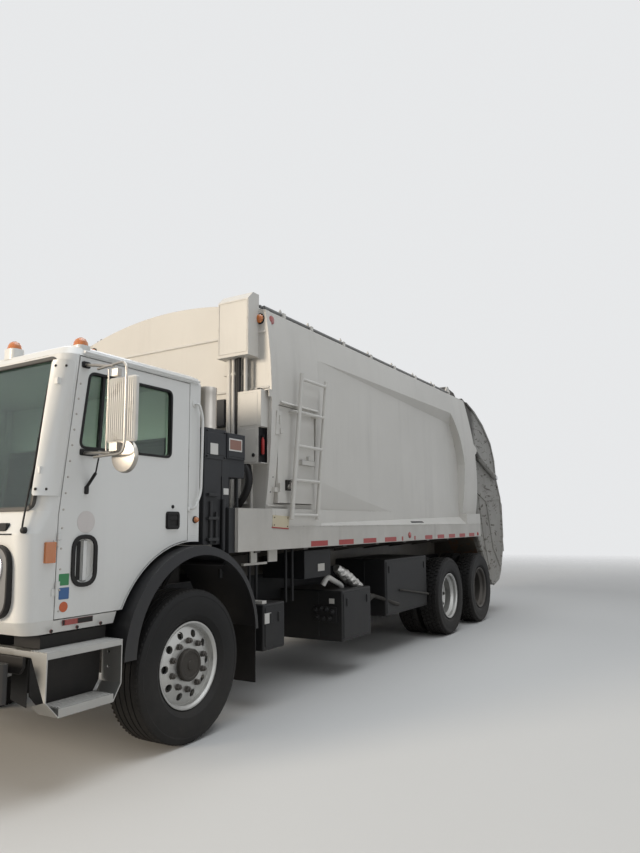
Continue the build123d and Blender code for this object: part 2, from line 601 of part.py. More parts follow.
def windshield_panes(grow):
    """The left pane of the windshield in front view, moved outwards by grow."""
    (z0, z1), (inner, foot, top) = WINDSHIELD_Z, WINDSHIELD_X
    pane = outline([(inner - grow, z0 - grow), (foot + grow, z0 - grow), (top + grow, z1 + grow),
                    (inner - grow, z1 + grow)])
    low, high = pane.vertices().sort_by(Axis.X)[-2:].sort_by(Axis.Y)
    pane = fillet(low, WINDSHIELD_CORNERS[0] + grow)
    high = pane.vertices().group_by(Axis.Y)[-1].sort_by(Axis.X)[-1]
    return fillet(high, WINDSHIELD_CORNERS[1] + grow)


DOOR_SKIN_X = CAB_HALF_WIDTH - 55
HINGE_BARREL = 8  # radius of a hinge barrel
HINGE_PIN = 4.5
HINGE_HEIGHT = 80
HINGE_LEAF = 6
DOOR_LEAF_REACH = 28
DOOR_HINGE = (CAB_HALF_WIDTH + 12, DOOR_FRONT[0][0] - DOOR_GAP / 2)
DOOR_HINGES_Z = (1120, 1400)


def hinge_halves(at, leaf_x, ahead, behind, levels):
    """Upright hinges at the plan point at: the fixed halves with their pins, and the moving halves."""
    x, y = at
    fixed, moving = None, None
    for z in levels:
        mid = z + HINGE_HEIGHT / 2
        low = block((leaf_x, leaf_x + HINGE_LEAF), (ahead, y), (z, mid))
        low += rod((x, y, z), (x, y, mid), HINGE_BARREL)
        low += block((leaf_x, x), (y - HINGE_BARREL, y), (z, mid))
        low += rod((x, y, z), (x, y, z + HINGE_HEIGHT), HINGE_PIN)
        top = block((leaf_x, leaf_x + HINGE_LEAF), (y, behind), (mid + SEAT_GAP, z + HINGE_HEIGHT))
        top += block((leaf_x, x), (y, y + HINGE_BARREL), (mid + SEAT_GAP, z + HINGE_HEIGHT))
        top += rod((x, y, mid + SEAT_GAP), (x, y, z + HINGE_HEIGHT), HINGE_BARREL)
        top -= rod((x, y, z), (x, y, z + HINGE_HEIGHT + 10), HINGE_PIN + PIN_CLEARANCE)
        fixed = low if fixed is None else fixed + low
        moving = top if moving is None else moving + top
    return fixed, moving


def make_cab():
    outside = cab_outside() - wheel_arch()
    shell = outside - cab_inside()
    opening = prism_x(door_face(DOOR_GAP), DOOR_SKIN_X - 20, CAB_HALF_WIDTH + 50)
    shell -= both_sides(opening)
    pane = prism_y(windshield_panes(0), -1400, -1000)
    shell -= both_sides(pane)
    (y0, z0), (y1, z1), (y2, z2) = DOOR_FRONT
    gap, top, tall = DOOR_GAP, CAB_SHELL_TOP_Z, CAB_ROOF_Z + 10
    wide = CAB_HALF_WIDTH + 50
    front_zone = prism_x([(-1500, CAB_BOTTOM_Z - 10), (y0 - gap, CAB_BOTTOM_Z - 10), (y1 - gap, z1),
                          (y2 - gap, z2 + gap), (y2 - gap, top), (-1500, top)], -wide, wide)
    roof_zone = block((-wide, wide), (-1500, 200), (top, tall))
    over_door = block((-wide, wide), (y2 - gap, DOOR_BACK_Y + gap), (z2 + gap, top))
    back_low = ARCH_Z + ARCH_RADIUS + 40
    back_zone = block((-wide, wide), (DOOR_BACK_Y + gap, 200), (back_low, top))
    parts["cab_front"] = shell & front_zone
    parts["cab_roof"] = (shell & roof_zone) + (shell & over_door)
    parts["cab_back"] = shell & back_zone
    floor = shell - front_zone - roof_zone - over_door - back_zone
    tunnel_x, tunnel_z, tunnel_front = 480, 1280, -1240
    tunnel_cut = block((-tunnel_x, tunnel_x), (tunnel_front, 200), (CAB_BOTTOM_Z - 10, tunnel_z))
    cover = block((-tunnel_x, tunnel_x), (tunnel_front, -260), (CAB_FLOOR_Z, tunnel_z + 40))
    cover -= block((-tunnel_x + 30, tunnel_x - 30), (tunnel_front + 30, -200), (CAB_FLOOR_Z - 10, tunnel_z))
    cover -= prism_x(Pos(ARCH_Y, ARCH_Z) * Circle(ARCH_RADIUS + 20), -tunnel_x, tunnel_x)
    parts["cab_front"] -= block((-tunnel_x, tunnel_x), (tunnel_front, 0), (CAB_BOTTOM_Z - 10, tunnel_z + 40))
    parts["cab_floor"] = floor - tunnel_cut + cover
    lug_x = (RAIL_OUTER_X + 26, tunnel_x + 60)
    lug = block(lug_x, (CAB_TILT_Y - CAB_EYE_RADIUS, CAB_TILT_Y + CAB_EYE_RADIUS), (CAB_TILT_Z, CAB_FLOOR_Z))
    lug += rod((lug_x[0], CAB_TILT_Y, CAB_TILT_Z), (lug_x[1], CAB_TILT_Y, CAB_TILT_Z), CAB_EYE_RADIUS)
    bore = rod((RAIL_OUTER_X, CAB_TILT_Y, CAB_TILT_Z), (RAIL_OUTER_X + 85, CAB_TILT_Y, CAB_TILT_Z),
               CAB_PIN_RADIUS + PIN_CLEARANCE)
    leaf_x = CAB_HALF_WIDTH - 1
    fixed, _ = hinge_halves(DOOR_HINGE, leaf_x, DOOR_HINGE[1] - DOOR_LEAF_REACH, DOOR_HINGE[1] + DOOR_LEAF_REACH,
                            DOOR_HINGES_Z)
    fixed -= block((leaf_x, CAB_HALF_WIDTH + 1), (y0 - gap, 0), (CAB_BOTTOM_Z, CAB_ROOF_Z))
    parts["cab_front"] += both_sides(lug + fixed)
    parts["cab_front"] -= both_sides(bore)


def make_doors():
    outside = cab_outside() - wheel_arch()
    door = outside & prism_x(door_face(0), DOOR_SKIN_X, CAB_HALF_WIDTH + 50)
    door -= prism_x(window_face(0), DOOR_SKIN_X - 10, CAB_HALF_WIDTH + 60)
    vent = Pos(-953, 1312) * RectangleRounded(150, 260, 70)
    door -= prism_x(vent, CAB_HALF_WIDTH - 25, CAB_HALF_WIDTH + 60)
    leaf_x = CAB_HALF_WIDTH - 1
    _, moving = hinge_halves(DOOR_HINGE, leaf_x, DOOR_HINGE[1] - DOOR_LEAF_REACH, DOOR_HINGE[1] + DOOR_LEAF_REACH,
                             DOOR_HINGES_Z)
    moving -= block((leaf_x, CAB_HALF_WIDTH + 1), (-1300, DOOR_FRONT[0][0]), (CAB_BOTTOM_Z, CAB_ROOF_Z))
    door += moving
    glass = prism_x(window_face(-SEAT_GAP), CAB_HALF_WIDTH - 32, CAB_HALF_WIDTH - 32 + GLASS)
    head = Pos(1545, -1035, 2205) * Box(200, 70, 390)
    loop = pipe([(1148, -1000, 2475), (1600, -1075, 2475), (1600, -1075, 1930), (1148, -1010, 1930)], 12, 60)
    convex = rod((1545, -1040, 1925), (1545, -1010, 1925), 90)
    stem = block((1535, 1612), (-1080, -1060), (2195, 2215))
    link = block((1535, 1612), (-1080, -1035), (1918, 1938))
    mirror_left = head + loop + convex + stem + link
    mirror_left -= outside
    parts["door_left"], parts["door_right"] = door, right_of(door)
    parts["door_glass_left"], parts["door_glass_right"] = glass, right_of(glass)
    parts["mirror_left"], parts["mirror_right"] = mirror_left, right_of(mirror_left)


def make_cab_glass():
    """Windshield panes, flush in their openings."""
    z0, z1 = CAB_SECTIONS[3][0], CAB_SHELL_TOP_Z
    y0, y1 = CAB_SECTIONS[3][1], CAB_SECTIONS[4][1]
    strip = prism_x([(y0 + 14, z0), (y1 + 14, z1), (y1 + 14 + GLASS, z1), (y0 + 14 + GLASS, z0)], -1100, 1100)
    pane = prism_y(windshield_panes(-SEAT_GAP), -1400, -1000)
    return both_sides(strip & pane)


def make_headlamps():
    """Lamp bezels on the lower front corners."""
    bezel = Pos(880, 1210) * RectangleRounded(330, 400, 120)
    lamp = prism_y(bezel, -1400, -1300) - cab_outside()
    return both_sides(lamp)


def make_dashboard():
    dash = prism_x([(-1400, 1320), (-1400, 1590), (-1230, 1600), (-1040, 1620), (-990, 1500), (-1040, 1320)],
                   -1060, 1060)
    column = rod((760, -1010, 1540), (760, -894.2, 1683.7), 30)
    return (dash & cab_inside()) + column


def make_steering_wheel():
    rim = Pos(760, -845, 1745) * Rot(-39, 0, 0) * Torus(215, 16)
    hub = rod((760, -894, 1684), (760, -848, 1741), 45)
    spokes = Pos(760, -848, 1741) * Rot(-39, 0, 0) * (Box(430, 40, 12) + Box(40, 430, 12))
    return rim + hub + spokes


def make_seats():
    seats = None
    for x in (-760, 760):
        stand = block((x - 200, x + 200), (-560, -170), (1150, 1480)) & cab_inside()
        cushion = block((x - 260, x + 260), (-570, -120), (1480, 1590))
        back = prism_x([(-150, 1590), (-40, 1590), (0, 2250), (-90, 2250)], x - 250, x + 250)
        seat = stand + cushion + back
        seats = seat if seats is None else seats + seat
    return seats


# Body. The side panels bulge: half width at the skirt, at the widest level and at the roof edge

SHELL_LOW = (1152, 1655)
SHELL_WIDE = (BODY_HALF_WIDTH, SKIRT_BOTTOM_Z + 0.616 * (ROOF_EDGE_Z - SKIRT_BOTTOM_Z))
SHELL_TOP = (1148, ROOF_EDGE_Z)
SILL_X = (340, RAIL_OUTER_X)
CROSS_SILLS = 8
CROSS_SILL_DEPTH = (110, 30)  # at the rails and at the ends
CROSS_SILL_HALF = 1000
# Rear edge in side view: from the top of the slope, and height as a share of the side above the skirt
REAR_SHARES = ((-430, 1.019), (-160, 0.63), (-40, 0.302), (-40, 0))
REAR_EDGE = tail(*[(y, SKIRT_BOTTOM_Z + share * (ROOF_EDGE_Z - SKIRT_BOTTOM_Z)) for y, share in REAR_SHARES])


def make_body_floor():
    skirt_top = SKIRT_BOTTOM_Z + SKIRT_HEIGHT
    side = prism_x([(650, SKIRT_BOTTOM_Z), (BODY_REAR_Y, SKIRT_BOTTOM_Z), (BODY_REAR_Y, skirt_top),
                    (BODY_FRONT_Y, skirt_top), (BODY_FRONT_Y, 1650), (500, 1650)], SIDE_INNER_X, BODY_HALF_WIDTH)
    floor = both_sides(side)
    floor += block((-SIDE_INNER_X, SIDE_INNER_X), (BODY_FRONT_Y, BODY_REAR_Y),
                   (SKIRT_BOTTOM_Z, SKIRT_BOTTOM_Z + FLOOR_THICK))
    floor += both_sides(block(SILL_X, (BODY_FRONT_Y, BODY_REAR_Y), (RAIL_TOP_Z + SEAT_GAP, SKIRT_BOTTOM_Z)))
    half, top = CROSS_SILL_HALF, SKIRT_BOTTOM_Z
    deep, thin = top - CROSS_SILL_DEPTH[0], top - CROSS_SILL_DEPTH[1]
    sill = [(-half, top), (-half, thin), (-RAIL_OUTER_X, deep), (RAIL_OUTER_X, deep), (half, thin), (half, top)]
    pitch = (BODY_REAR_Y - BODY_FRONT_Y - 200) / (CROSS_SILLS - 1)
    for i in range(CROSS_SILLS):
        y = BODY_FRONT_Y + 100 + i * pitch
        floor += prism_y(sill, y - 40, y + 40)
    return floor


def rear_cut(shift):
    """Everything behind the body's sloping rear edge, moved back by shift."""
    points = [(y + shift, z) for y, z in REAR_EDGE]
    far = BODY_REAR_Y + 3000
    high, low = ROOF_EDGE_Z + 360, 300
    behind = [(points[-1][0], low), (far, low), (far, high)]
    return prism_x([(points[0][0] - 30, high)] + points + behind, -1400, 1400)


RECESS_Y = (BODY_FRONT_Y + 830, BODY_REAR_Y - 640)
RECESS_DEPTH = 120
RECESS_START = 30  # depth at its front end


def make_body_sides():
    floor_z = SKIRT_BOTTOM_Z + SKIRT_HEIGHT
    bulge = ThreePointArc(SHELL_LOW, SHELL_WIDE, SHELL_TOP)
    lines = Polyline(SHELL_TOP, (SIDE_INNER_X, ROOF_EDGE_Z), (SIDE_INNER_X, floor_z), (BODY_HALF_WIDTH, floor_z),
                     (BODY_HALF_WIDTH, SHELL_LOW[1]), SHELL_LOW)
    section = make_face([bulge, *lines.edges()])
    side = prism_y(section, BODY_FRONT_Y + 60, BODY_REAR_Y)
    y0, y1 = RECESS_Y
    wide, deep, top = BODY_HALF_WIDTH, BODY_HALF_WIDTH - RECESS_DEPTH, ROOF_EDGE_Z - 240
    plan = prism_z([(1300, y0), (wide - RECESS_START, y0), (deep, y1), (1300, y1)], floor_z - 100, top + 200)
    slopes = prism_y([(1300, floor_z), (wide, floor_z), (deep, floor_z + 110), (deep, top - 215), (wide, top - 10),
                      (1300, top - 10)], y0 - 10, y1 + 10)
    corner = ThreePointArc((y1, top - 800), (y1 - 165, top - 400), (y1 - 560, top))
    rest = Polyline((y1 - 560, top), (y0, top), (y0, floor_z), (y1, floor_z), (y1, top - 800))
    side -= plan & slopes & prism_x(make_face([corner, *rest.edges()]), 1000, 1310)
    side -= rear_cut(0)
    fixed, _ = access_hinges()
    fixed -= block((1100, BODY_HALF_WIDTH + 2), ACCESS_DOOR_Y, ACCESS_DOOR_Z)
    parts["body_side_left"] = side - door_hole() + fixed
    parts["body_side_right"] = right_of(side)


def roof_line(drop):
    """Arc over the body in front view, lowered by drop."""
    edge = SHELL_TOP[0] - drop
    return ThreePointArc((edge, ROOF_EDGE_Z), (0, ROOF_EDGE_Z + ROOF_RISE - drop), (-edge, ROOF_EDGE_Z))


HINGE_LUGS_X = (880, 1010)
HINGE_LUG = 20
HINGE_LUG_RADIUS = 55
TAILGATE_PIN_RADIUS = 25
HOOD_ARM_X = (HINGE_LUGS_X[0] + HINGE_LUG + 6, HINGE_LUGS_X[1] - 6)


def make_body_roof():
    outer = roof_line(0)
    inner = roof_line(ROOF_THICK)
    ends = [Line(outer @ 1, inner @ 1), Line(inner @ 0, outer @ 0)]
    roof = prism_y(make_face([outer, inner] + ends), BODY_FRONT_Y + 60, BODY_REAR_Y)
    roof -= rear_cut(0)
    # Hinge lugs of the tailgate, with their pins
    y, z = TAILGATE_HINGE_Y, TAILGATE_HINGE_Z
    for x in HINGE_LUGS_X:
        lug = block((x, x + HINGE_LUG), (y - 80, y + 80), (ROOF_EDGE_Z, z))
        lug += rod((x, y, z), (x + HINGE_LUG, y, z), HINGE_LUG_RADIUS)
        lug -= prism_y(make_face([inner, Line(inner @ 1, inner @ 0)]), BODY_FRONT_Y, BODY_REAR_Y + 200)
        roof += both_sides(lug)
    pin = rod((HINGE_LUGS_X[0], y, z), (HINGE_LUGS_X[1] + HINGE_LUG, y, z), TAILGATE_PIN_RADIUS)
    return roof + both_sides(pin)


def make_body_front():
    bulge = ThreePointArc(SHELL_LOW, SHELL_WIDE, SHELL_TOP)
    roof = roof_line(0)
    floor_z = SKIRT_BOTTOM_Z + FLOOR_THICK
    skirt_z = SKIRT_BOTTOM_Z + SKIRT_HEIGHT
    edges = [(SIDE_INNER_X, floor_z), (SIDE_INNER_X, skirt_z), (BODY_HALF_WIDTH, skirt_z),
             (BODY_HALF_WIDTH, SHELL_LOW[1]), SHELL_LOW]
    left = Polyline(*edges)
    right = Polyline(*[(-x, z) for x, z in edges])
    bulge_right = ThreePointArc(*[(-x, z) for x, z in (SHELL_LOW, SHELL_WIDE, SHELL_TOP)])
    base = Line((SIDE_INNER_X, floor_z), (-SIDE_INNER_X, floor_z))
    section = make_face([bulge, bulge_right, roof, base, *left.edges(), *right.edges()])
    return prism_y(section, BODY_FRONT_Y, BODY_FRONT_Y + 60)


# Side access door with the ladder on it

ACCESS_DOOR_Y = (1060, 1700)
ACCESS_DOOR_Z = (1700, 2580)
LADDER_FEET_Y = (1200, 1640)
LADDER_Z = (1560, 2900)
LADDER_X = (1262, 1300)  # at its foot and at its top
LADDER_LEAN = 130  # rearwards over its height
RUNG_Z, RUNG_PITCH, RUNGS = 1600, 312, 5
STAY_RUNGS = (1, 3)
STAYS_Y = (1260, 1650)
ACCESS_HINGE = (BODY_HALF_WIDTH + 15, ACCESS_DOOR_Y[0] + DOOR_GAP / 2)
ACCESS_HINGES_Z = (1800, 2400)


def access_hinges():
    y = ACCESS_HINGE[1]
    fixed, moving = hinge_halves(ACCESS_HINGE, 1204, y - 50, y + 50, ACCESS_HINGES_Z)
    fixed += hinge_backing(y)
    moving -= block((1100, BODY_HALF_WIDTH), (0, ACCESS_DOOR_Y[0] + DOOR_GAP), ACCESS_DOOR_Z)
    return fixed, moving


def hinge_backing(y):
    """Packing behind the fixed halves, where the body side curves away from them."""
    backing = None
    for z in ACCESS_HINGES_Z:
        piece = block((1150, 1210), (y - 50, ACCESS_DOOR_Y[0]), (z, z + HINGE_HEIGHT / 2))
        backing = piece if backing is None else backing + piece
    return backing


def door_hole():
    return block((SIDE_INNER_X - 20, 1300), ACCESS_DOOR_Y, ACCESS_DOOR_Z)


def on_ladder(z, foot):
    """The point of a rail with its foot at foot, at height z."""
    share = (z - LADDER_Z[0]) / (LADDER_Z[1] - LADDER_Z[0])
    return (LADDER_X[0] + share * (LADDER_X[1] - LADDER_X[0]), foot + share * LADDER_LEAN, z)


def make_access_door():
    """The door with its ladder, which stands on four stays at the height of two rungs."""
    gap = DOOR_GAP
    y, z = ACCESS_DOOR_Y, ACCESS_DOOR_Z
    door = block((1130, 1205), (y[0] + gap, y[1] - gap - 10), (z[0] + gap, z[1] - gap))
    _, moving = access_hinges()
    door += moving
    front, back = LADDER_FEET_Y
    for foot in LADDER_FEET_Y:
        door += rod(on_ladder(LADDER_Z[0], foot), on_ladder(LADDER_Z[1], foot), 20)
    for i in range(RUNGS):
        level = RUNG_Z + i * RUNG_PITCH
        door += rod(on_ladder(level, front), on_ladder(level, back), 15)
    for i in STAY_RUNGS:
        level = RUNG_Z + i * RUNG_PITCH
        for y_stay in STAYS_Y:
            door += rod((1195, y_stay, level), (on_ladder(level, front)[0], y_stay, level), 14)
    return door


# Hose cover and control cabinet on the front wall

def make_hose_cover():
    cover = prism_x([(790, 3010), (BODY_FRONT_Y - SEAT_GAP, 3010), (BODY_FRONT_Y - SEAT_GAP, 3590), (860, 3590),
                     (790, 3520)], 740, 1080)
    lines = None
    for x in (800, 860, 930):
        line = rod((x, 870, 1500), (x, 870, 3020), 18)
        lines = line if lines is None else lines + line
    for z in (1700, 2300, 2850):
        lines += block((770, 960), (870, BODY_FRONT_Y - SEAT_GAP), (z, z + 30))
    return cover + lines


CABINET_FRONT_Y = 800


def make_control_cabinet():
    cabinet = block((965, 1148), (CABINET_FRONT_Y, BODY_FRONT_Y - SEAT_GAP), (2185, 2685))
    return fillet(cabinet.edges().filter_by(Axis.Z), 10)


# Ejector panel inside the body

EJECTOR_Y = 1150
EJECTOR_SKIRT = 500


def make_ejector():
    half = SIDE_INNER_X - PACKER_CLEARANCE
    floor = SKIRT_BOTTOM_Z + FLOOR_THICK + SEAT_GAP
    top = ROOF_EDGE_Z - 80
    panel = prism_x([(EJECTOR_Y + 60, floor), (EJECTOR_Y + 120, floor), (EJECTOR_Y + 60, top), (EJECTOR_Y, top)],
                    -half, half)
    foot = block((-half, half), (EJECTOR_Y - 100, EJECTOR_Y + EJECTOR_SKIRT), (floor, floor + 30))
    return panel + foot


# Tailgate. The hopper is laid out about the packer pivot at the low end of its track

SLOPE_ANGLE = 47.8  # fall of the hopper slope and of the packer track, degrees
DOWN = (cos(radians(SLOPE_ANGLE)), -sin(radians(SLOPE_ANGLE)))
UP_NORMAL = (sin(radians(SLOPE_ANGLE)), cos(radians(SLOPE_ANGLE)))
SLOPE_TOP = (TAIL_Y, SKIRT_BOTTOM_Z - 5)
TRACK_LENGTH_DOWN = 582  # along the slope from its top to below the low pivot
TAILGATE_HINGE_Y = LAST_AXLE_Y - 660
PIVOT_OFFSET = HOPPER_PLATE + HOPPER_RADIUS
# Back of the hood: behind the top of the slope, and below the roof's edge
HOOD_LINE = ((-240, 0), (149, 96), (584, 275), (990, 550), (1170, 835), (1220, 1140))
HOOD_INNER_LINE = ((-245, 42), (136, 136), (565, 314), (960, 580), (1131, 850), (1180, 1140))


def below_roof(line):
    return tail(*[(y, ROOF_EDGE_Z - drop) for y, drop in line])


def along(start, down=0.0, out=0.0):
    """A point in side view, moved down the track and out from the slope."""
    return (start[0] + down * DOWN[0] + out * UP_NORMAL[0], start[1] + down * DOWN[1] + out * UP_NORMAL[1])


PIVOT_LOW = along(SLOPE_TOP, TRACK_LENGTH_DOWN, PIVOT_OFFSET)
PIVOT_REST = along(PIVOT_LOW, -PACKER_TRAVEL)
SILL_ANGLE = -26
SILL_DEPTH = 80


def make_hopper_floor():
    inner_start = along(SLOPE_TOP, 0, HOPPER_PLATE)
    turn_start = 180 + 90 - SLOPE_ANGLE
    turn_end = 360 + SILL_ANGLE

    def at(radius, turn):
        return (PIVOT_LOW[0] + radius * cos(radians(turn)), PIVOT_LOW[1] + radius * sin(radians(turn)))
    mid = (turn_start + turn_end) / 2
    outer_radius = HOPPER_RADIUS + HOPPER_PLATE
    outer = ThreePointArc(at(outer_radius, turn_start), at(outer_radius, mid), at(outer_radius, turn_end))
    inner = ThreePointArc(at(HOPPER_RADIUS, turn_end), at(HOPPER_RADIUS, mid), at(HOPPER_RADIUS, turn_start))
    lines = [Line(SLOPE_TOP, outer @ 0), Line(outer @ 1, inner @ 0), Line(inner @ 1, inner_start),
             Line(inner_start, SLOPE_TOP)]
    floor = prism_x(make_face([outer, inner] + lines), -TAILGATE_INNER_X, TAILGATE_INNER_X)
    sill_y, sill_z = at(HOPPER_RADIUS, turn_end)
    sill = block((-TAILGATE_INNER_X, TAILGATE_INNER_X), (sill_y, sill_y + SILL_DEPTH), (sill_z - 65, sill_z))
    return floor + sill


def side_plate_points():
    gap = TAILGATE_GAP
    front = [(y + gap, z) for y, z in REAR_EDGE[:3]] + [(REAR_EDGE[3][0] + gap, SLOPE_TOP[1] + 40)]
    slope_low = along(SLOPE_TOP, 970, 0)
    rear = tail((810, 480), (1140, 558), (1270, 700), (1420, 1000), (1560, 1010), (1500, 1500), (1440, 1950))
    return front + [SLOPE_TOP, slope_low] + rear + below_roof(reversed(HOOD_LINE))


def make_tailgate_sides():
    side = prism_x(side_plate_points(), TAILGATE_INNER_X, TAILGATE_OUTER_X)
    grab = pipe([(1090, TAIL_Y + 1420, 1950), (1090, TAIL_Y + 1635, 1850), (1090, TAIL_Y + 1635, 1250),
                 (1090, TAIL_Y + 1520, 1180)], 15, 60)
    parts["tailgate_side_left"] = side + grab
    parts["tailgate_side_right"] = right_of(side + grab)


SLIDE_CYLINDER_X = 850
SLIDE_CYLINDER_OUT = 930 - PIVOT_OFFSET  # out from the packer's track
SLIDE_BARREL_RADIUS, SLIDE_ROD_RADIUS = 58, 35


def make_tailgate_hood():
    """The rolled back sheet, the arms forward to the hinge over the roof and the slide cylinders' barrels."""
    front_y, thick = REAR_EDGE[0][0] + TAILGATE_GAP, 40
    outer = [(front_y, REAR_EDGE[0][1])] + below_roof(HOOD_LINE)
    inner = below_roof(reversed(HOOD_INNER_LINE)) + [(front_y, REAR_EDGE[0][1] - thick)]
    hood = prism_x(outer + inner, -TAILGATE_INNER_X, TAILGATE_INNER_X)
    y, z = TAILGATE_HINGE_Y, TAILGATE_HINGE_Z
    arm = prism_x([(y, z - 45), (y, z + 55), (y + 340, z + 10), outer[1], inner[-2], (front_y, ROOF_EDGE_Z),
                   (front_y, ROOF_EDGE_Z + 80)], *HOOD_ARM_X)
    arm += rod((HOOD_ARM_X[0], y, z), (HOOD_ARM_X[1], y, z), HINGE_LUG_RADIUS)
    arm -= rod((HOOD_ARM_X[0] - 6, y, z), (HOOD_ARM_X[1] + 6, y, z), TAILGATE_PIN_RADIUS + PIN_CLEARANCE)
    hood += both_sides(arm)
    high, low = along(PIVOT_REST, -1005, SLIDE_CYLINDER_OUT), along(PIVOT_REST, -100, SLIDE_CYLINDER_OUT)
    hood += rod((-TAILGATE_INNER_X, *high), (TAILGATE_INNER_X, *high), 60)
    start = along(PIVOT_REST, -940, SLIDE_CYLINDER_OUT)
    for x in (-SLIDE_CYLINDER_X, SLIDE_CYLINDER_X):
        hood += rod((x, *high), (x, *low), SLIDE_BARREL_RADIUS)
        hood -= rod((x, *start), (x, *along(low, 20)), SLIDE_ROD_RADIUS + PIN_CLEARANCE)
    return hood


BLADE_REACH = HOPPER_RADIUS - 30
BLADE_SWING = 105  # degrees
PACKER_HALF = TAILGATE_INNER_X - PACKER_CLEARANCE
CARRIAGE_UP = 590
PACKER_TUBE_RADIUS = 70
PACKER_PIN_RADIUS = 40
BEARING_WIDTH = 40
PANEL_END = PACKER_TUBE_RADIUS + 8
SWEEP_X = 450
CRANK_ANGLE = 35  # of the crank pin out from the track, degrees
CRANK_RADIUS = 180
CHEEKS_X = (-75, 55)  # each side of a sweep cylinder
CHEEK_THICK = 20
CHEEK_HALF, CHEEK_EYE = 32, 35
SWEEP_TOP = (-560, 150)  # top pin of a sweep cylinder: down the track and out from it
SWEEP_PIN_RADIUS = 25


def side_at(points):
    return [along(PIVOT_REST, down, out) for down, out in points]


def crank_pin(swing=0):
    turn = radians(CRANK_ANGLE + swing)
    return along(PIVOT_REST, CRANK_RADIUS * cos(turn), CRANK_RADIUS * sin(turn))


def blade_cheek(x, swing=0, grow=0):
    """A crank cheek from the blade's tube to the crank pin, swung with the blade and grown all round."""
    turn = radians(CRANK_ANGLE + swing)
    half, start = CHEEK_HALF + grow, PACKER_TUBE_RADIUS / 2
    corners = ((start, -half), (CRANK_RADIUS, -half), (CRANK_RADIUS, half), (start, half))
    bar = side_at([(s * cos(turn) - t * sin(turn), s * sin(turn) + t * cos(turn)) for s, t in corners])
    ends = (x - grow, x + CHEEK_THICK + grow)
    pin = crank_pin(swing)
    return prism_x(bar, *ends) + rod((ends[0], *pin), (ends[1], *pin), CHEEK_EYE + grow)


def make_packer_carriage():
    """The plate that slides down the track, with the bearings of the blade and the feet of its cylinders."""
    end, half, high = -PANEL_END, PACKER_HALF, SLIDE_CYLINDER_OUT
    carriage = prism_x(side_at([(-CARRIAGE_UP, -60), (end, -60), (end, 60), (-CARRIAGE_UP, 60)]), -half, half)
    bearing = side_at([(end - 20, -60), (end, -60), (end + 15, -42), (42, -42), (42, 42), (end + 15, 60),
                       (end - 20, 60)])
    for x in (-half, -BEARING_WIDTH / 2, half - BEARING_WIDTH):
        carriage += prism_x(bearing, x, x + BEARING_WIDTH)
    carriage -= rod((-half - 10, *PIVOT_REST), (half + 10, *PIVOT_REST), PACKER_PIN_RADIUS + PIN_CLEARANCE)
    foot = side_at([(-200, 55), (-150, 110), (-90, 120), (-60, high + 45), (-20, high + 45), (-20, high - 70),
                    (-90, 55)])
    for x in (-SLIDE_CYLINDER_X, SLIDE_CYLINDER_X):
        carriage += prism_x(foot, x - 30, x + 30)
        carriage += rod((x, *along(PIVOT_REST, -900, high)), (x, *along(PIVOT_REST, -40, high)), SLIDE_ROD_RADIUS)
    top, out = SWEEP_TOP
    ear = side_at([(-CARRIAGE_UP, 55), (-CARRIAGE_UP, out + 40), (top + 45, out + 40), (top + 60, 55)])
    pin = along(PIVOT_REST, top, out)
    for x in (-SWEEP_X, SWEEP_X):
        for side in CHEEKS_X:
            carriage += prism_x(ear, x + side, x + side + CHEEK_THICK)
            carriage -= blade_cheek(x + side, BLADE_SWING, PACKER_CLEARANCE)
        carriage += rod((x + CHEEKS_X[0], *pin), (x + CHEEKS_X[1] + CHEEK_THICK, *pin), SWEEP_PIN_RADIUS)
    return carriage


def make_packer_blade():
    """The sweeping blade on its tube, with two pairs of crank cheeks."""
    reach, half = BLADE_REACH, PACKER_HALF
    section = side_at([(-50, -40), (50, -40), (40, 60 - reach), (0, -reach), (-50, 40 - reach)])
    blade = prism_x(section, -half, half)
    blade += rod((-half, *PIVOT_REST), (half, *PIVOT_REST), PACKER_TUBE_RADIUS)
    for x in (-half, -BEARING_WIDTH / 2, half - BEARING_WIDTH):
        blade -= rod((x - 5, *PIVOT_REST), (x + BEARING_WIDTH + 5, *PIVOT_REST), PACKER_TUBE_RADIUS + 6)
    blade += rod((-half, *PIVOT_REST), (half, *PIVOT_REST), PACKER_PIN_RADIUS)
    for x in (-SWEEP_X, SWEEP_X):
        for side in CHEEKS_X:
            blade += blade_cheek(x + side)
    return blade


SWEEP_BARREL_RADIUS = 42
SWEEP_BARREL_LENGTH = 388
SWEEP_BORE_START = 50
SWEEP_ROD_START = 350  # how far the rod's inner end lies from the top pin


def make_sweep_cylinders():
    barrels, rods = None, None
    top, pin = along(PIVOT_REST, *SWEEP_TOP), crank_pin()
    run = hypot(pin[0] - top[0], pin[1] - top[1])
    step = ((pin[0] - top[0]) / run, (pin[1] - top[1]) / run)

    def on_line(distance):
        return (top[0] + step[0] * distance, top[1] + step[1] * distance)
    for x in (-SWEEP_X, SWEEP_X):
        barrel = rod((x - 30, *top), (x + 30, *top), SWEEP_BARREL_RADIUS)
        barrel += rod((x, *on_line(20)), (x, *on_line(SWEEP_BARREL_LENGTH)), SWEEP_BARREL_RADIUS)
        barrel -= rod((x - 60, *top), (x + 60, *top), SWEEP_PIN_RADIUS + PIN_CLEARANCE)
        barrel -= rod((x, *on_line(SWEEP_BORE_START)), (x, *on_line(SWEEP_BARREL_LENGTH + 12)),
                      SWEEP_PIN_RADIUS + PIN_CLEARANCE)
        shaft = rod((x, *on_line(SWEEP_ROD_START)), (x, *on_line(run - 20)), SWEEP_PIN_RADIUS)
        shaft += rod((x - 30, *pin), (x + 30, *pin), 30)
        barrels = barrel if barrels is None else barrels + barrel
        rods = shaft if rods is None else rods + shaft
    return barrels, rods


# Tailgate lift cylinders, outside the side plates

